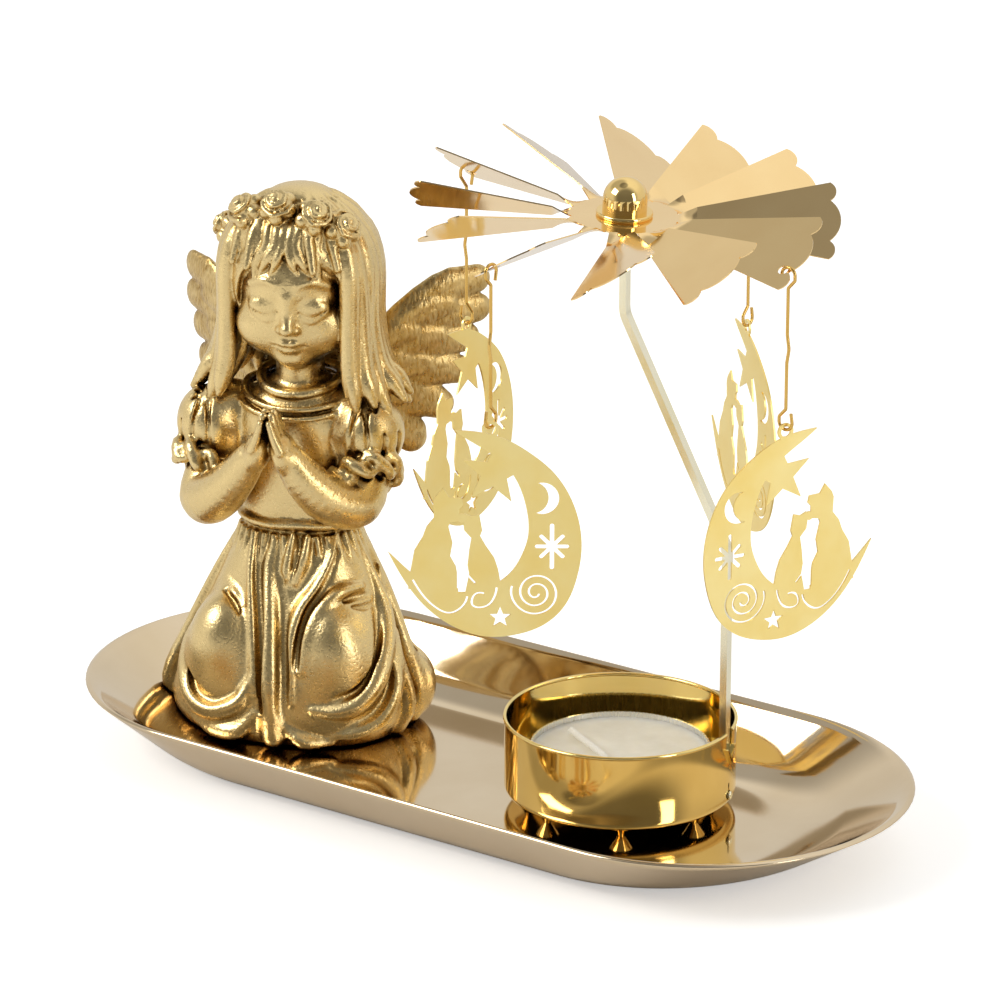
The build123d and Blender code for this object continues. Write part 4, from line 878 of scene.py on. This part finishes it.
def brow_place(side, above, out=0.5):
    """A place on the forehead."""
    ahead = 13.4 * math.sqrt(max(0.05, 1 - (side / 12.5) ** 2 - (above / 15.0) ** 2))
    return side, ahead + out, above


for root, bend, tip, size in (
    ((-1.2, 12.6), (-2.2, 9.6), (-3.8, 6.4), 1.0), ((-2.6, 12.4), (-4.6, 9.2), (-6.4, 5.6), 1.15),
    ((-4.6, 12.0), (-6.8, 8.6), (-7.6, 3.8), 1.2), ((-6.6, 11.2), (-9.0, 7.4), (-10.2, 3.2), 1.25),
    ((-8.2, 10.2), (-10.8, 5.6), (-11.6, -0.4), 1.4), ((-9.6, 9.0), (-12.0, 3.6), (-12.2, -4.0), 1.5),
    ((0.4, 12.5), (1.0, 9.8), (2.2, 7.2), 1.0), ((1.8, 12.4), (3.4, 9.4), (5.2, 6.2), 1.15),
    ((3.8, 12.1), (6.0, 8.8), (7.0, 4.2), 1.2), ((5.8, 11.5), (8.4, 7.6), (10.0, 4.0), 1.25),
    ((7.6, 10.6), (10.2, 6.0), (11.0, 0.2), 1.4), ((9.4, 9.2), (11.8, 4.0), (12.2, -3.8), 1.5),
):
    bearing = 171 - root[0] * 5.2
    points = [on_hair(bearing, 64, 0.97), on_hair(bearing, 44, 0.97), on_head(*brow_place(*root, 2.2)),
              on_head(*brow_place(*bend, 1.0)), on_head(*brow_place(*tip, 0.1))]
    casting.put(taper(points, [size * 0.7, size, size * 1.15, size, 0.3]), 0.05)

# The wreath: five roses over the forehead, from temple to temple.
rose_size = 4.1
for step, (bearing, rise) in enumerate(((-99, 20), (-47, 47), (-7, 56), (34, 49), (58, 38))):
    turn, lift = math.radians(bearing), math.radians(rise)
    place = hair_middle + hair_radii * (
        math.sin(turn) * math.cos(lift), -math.cos(turn) * math.cos(lift), math.sin(lift))
    out = (place - hair_middle) / hair_radii ** 2
    out /= np.linalg.norm(out)
    first = np.cross(out, (0.2, 0.1, 1.0))
    first /= np.linalg.norm(first)
    second = np.cross(out, first)
    rose = place + out * 1.4
    casting.put(taper([rose - out * 3.2, rose], [rose_size * 0.8, rose_size * 0.72]), 0.3)
    casting.put(lump(rose + out * rose_size * 0.3, (rose_size * 0.6,) * 3), 0.3)
    for petal in range(5):
        tilt = 2 * math.pi * petal / 5 + step
        edge = rose + (first * math.cos(tilt) + second * math.sin(tilt)) * rose_size * 0.68 - out * 0.1
        casting.put(lump(edge, (rose_size * 0.4,) * 3), 0.3)
    swirl = []
    for tilt in np.arange(0, 4.6 * math.pi, 0.5):
        share = tilt / (4.6 * math.pi)
        reach = rose_size * (0.1 + 0.82 * share) * (1 + 0.07 * math.sin(5 * tilt + step))
        dome = rose_size * (0.88 - 0.62 * share ** 1.6)
        swirl.append(rose + (first * math.cos(tilt + step) + second * math.sin(tilt + step)) * reach
                     + out * dome)
    casting.put(taper(swirl, 0.52, 1), 0.12)

# The casting's foot is trimmed clear of the tray's wall, which climbs under the dress. It is a known fault
# that rounding makes the trim act on the floor too, so that the casting hovers 0.3 mm over it. How far out a
# place lies on the tray depends on the length of its own oval, so it is found by repeated averaging.
foot_clearance = 0.3
_, across, deep, levels = casting.near(casting.low, casting.low + casting.counts * casting.step)
along = np.abs(figurine_middle.x + across * turn_cos - deep * turn_sin)
aside = np.abs(figurine_middle.y + across * turn_sin + deep * turn_cos)
radius = aside
for _ in range(80):
    straight = tray_floor_half_straight + tray_stretch * (radius - tray_floor_radius)
    radius = 0.5 * radius + 0.5 * np.hypot(np.maximum(along - straight, 0), aside)
wall = np.interp(radius, [place[0] for place in inside], [place[1] for place in inside]) - tray_sheet
trimmed = np.where(wall > 0, wall + foot_clearance - levels, -1.0) * 0.8
casting.field = np.maximum(casting.field, np.maximum(-levels, trimmed))


def from_figurine(points):
    """Places of the figurine's own frame in the world, in millimetres."""
    x, y, z = points[:, 0], points[:, 1], points[:, 2]
    return np.stack([figurine_middle.x + x * turn_cos - y * turn_sin,
                     figurine_middle.y + x * turn_sin + y * turn_cos, figurine_middle.z + z], 1)


# Satin metallic gold paint over resin. An occlusion pass runs its colour from bright gold on the raised
# parts to dark brown in the recesses: painted shade, partly standing for the brown wash the casting has
# there. The wings are painted darker all over, as painted shade. A 0.6 mm grain stands for the paint's
# metal flakes, which are really finer.
def gold_paint(name, extra_shade, grain_height, grain_stretch):
    """The casting's paint, with more or less painted shade and a grain that may run upwards."""
    finish, tree, surface, place = new_finish(name)
    along = add_node(tree, "ShaderNodeMapping", {"Vector": place, "Scale": (1.0, 1.0, grain_stretch)})
    flakes = add_node(tree, "ShaderNodeTexNoise", {
        "Vector": along.outputs["Vector"], "Scale": 1 / 0.0006, "Detail": 3.0,
    })
    clouds = add_node(tree, "ShaderNodeTexNoise", {"Vector": place, "Scale": 1 / 0.006, "Detail": 4.0})
    # Painted shade: an occlusion pass darkens the paint's colour in recesses and between parts.
    recess_shade = add_node(tree, "ShaderNodeAmbientOcclusion", {"Distance": 0.003}, samples=6)
    patches = add_node(tree, "ShaderNodeMath", {0: clouds.outputs["Fac"], 1: 0.3}, operation="MULTIPLY")
    # Painted shade: a darker tone all over, more of it on the wings, mixed with the flakes' grain.
    grain_and_shade = add_node(tree, "ShaderNodeMath", {0: flakes.outputs["Fac"], 1: extra_shade * 0.9, 2: -0.15 - extra_shade},
                     operation="MULTIPLY_ADD")
    patches_and_shade = add_node(tree, "ShaderNodeMath", {0: patches.outputs[0], 1: grain_and_shade.outputs[0]}, operation="ADD")
    shade_level = add_node(tree, "ShaderNodeMath", {0: recess_shade.outputs["AO"], 1: patches_and_shade.outputs[0]},
                        operation="ADD")
    # The ramp runs from painted shade, dark brown, to the lit gold of the raised parts.
    tone = add_node(tree, "ShaderNodeValToRGB", {"Fac": shade_level.outputs[0]})
    ramp_stops(tone, [(0.25, "#4E3413"), (0.6, "#B08C4C"), (0.86, "#E8CE94")])
    gloss = add_node(tree, "ShaderNodeMapRange", {
        "Value": flakes.outputs["Fac"], "To Min": 0.2, "To Max": 0.38,
    })
    grain = add_node(tree, "ShaderNodeBump", {
        "Height": flakes.outputs["Fac"], "Strength": 0.6, "Distance": grain_height,
    })
    feed(tree, surface, {
        "Metallic": 1.0, "Base Color": tone.outputs["Color"], "Roughness": gloss.outputs["Result"],
        "Normal": grain.outputs["Normal"],
    })
    return finish


casting_paint = gold_paint("cast resin, satin gold paint with a brown wash", 0.0, 0.00016, 1.0)
wing_paint = gold_paint("cast resin, satin gold paint, heavier painted shade", 0.5, 0.0003, 0.35)
figurine = show(casting.mesh("angel", 0.0, from_figurine), "figurine_casting", casting_paint)
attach(figurine, "figurine")
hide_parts("figurine_body")

# Wings: two castings bonded into the back, with the same paint. Long feathers fan out from the shoulder in
# rows, each row over the next. A wing is modelled flat and 2.6 times too thick, then thinned and bent.
wing_flatness = 2.6
feather_rows = (
    (0.0, 4.3, ((35.6, 39.0), (36.0, 32.0), (33.6, 25.2), (31.8, 17.6), (28.2, 9.2), (22.0, 1.0),
                (12.0, -3.4)), (2.0, 6.0)),
    (2.2, 3.5, ((28.6, 33.6), (27.0, 26.4), (24.4, 19.6), (21.6, 12.6), (17.0, 6.0), (10.4, 1.0)),
     (2.0, 7.0)),
    (4.0, 2.9, ((20.4, 28.0), (18.4, 21.2), (15.4, 15.0), (11.6, 9.2), (7.0, 4.4)), (1.6, 7.6)),
)
wing_sweep = math.radians(24)
for wing_name, node, side, root in (
    ("figurine_wing_right", "figurine_right_wing", -1, (-4.0, 9.5, 57.0)),
    ("figurine_wing_left", "figurine_left_wing", 1, (5.0, 9.5, 60.0)),
):
    wing = Clay((-6, -9, -9), (42, 11, 46), 0.45)
    for layer, width, tips, (start_s, start_h) in feather_rows:
        for at, (tip_s, tip_h) in enumerate(tips):
            share = at / (len(tips) - 1)
            base = np.array((start_s + 2.5 * (1 - share), layer - 0.25 * at,
                             start_h + 9 * (1 - share) - 4 * share))
            tip = np.array((tip_s, layer - 0.25 * at, tip_h))
            way = tip - base
            bow = np.array((-way[2], 0, way[0])) * 0.09
            wing.put(taper([base, base + way * 0.35 + bow, base + way * 0.72 + bow * 0.9,
                            tip - way / np.linalg.norm(way) * width * 0.8],
                           [width * 0.5, width * 0.85, width, width * 0.78], 3), 0.25)
            wing.cut(taper([base + way * 0.3 + bow + (0, width * 0.95, 0),
                            base + way * 0.7 + bow * 0.9 + (0, width * 1.02, 0), tip + (0, width * 0.8, 0)],
                           [0.3, 0.4, 0.25], 3), 0.3)
    wing.put(roll([(-3, 2.0, -1, 3.4), (2.5, 2.6, 11, 3.4), (9, 2.2, 22, 2.9), (17, 1.4, 31, 2.2),
                   (27, 0.6, 38.4, 1.5)]), 0.8)

    def from_wing(points, side=side, root=root):
        """A wing's flat places, thinned, bent back and set on the figurine's back."""
        s, n, h = points[:, 0], points[:, 1] / wing_flatness, points[:, 2]
        back = 0.004 * s * s - n
        c, t = math.cos(wing_sweep), math.sin(wing_sweep)
        return from_figurine(np.stack([root[0] + side * (s * c - back * t), root[1] + s * t + back * c,
                                       root[2] + h], 1))

    piece = show(wing.mesh(wing_name, 0.0, from_wing), wing_name, wing_paint)
    if side < 0:
        piece.data.flip_normals()
    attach(piece, "figurine")
    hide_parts(node)
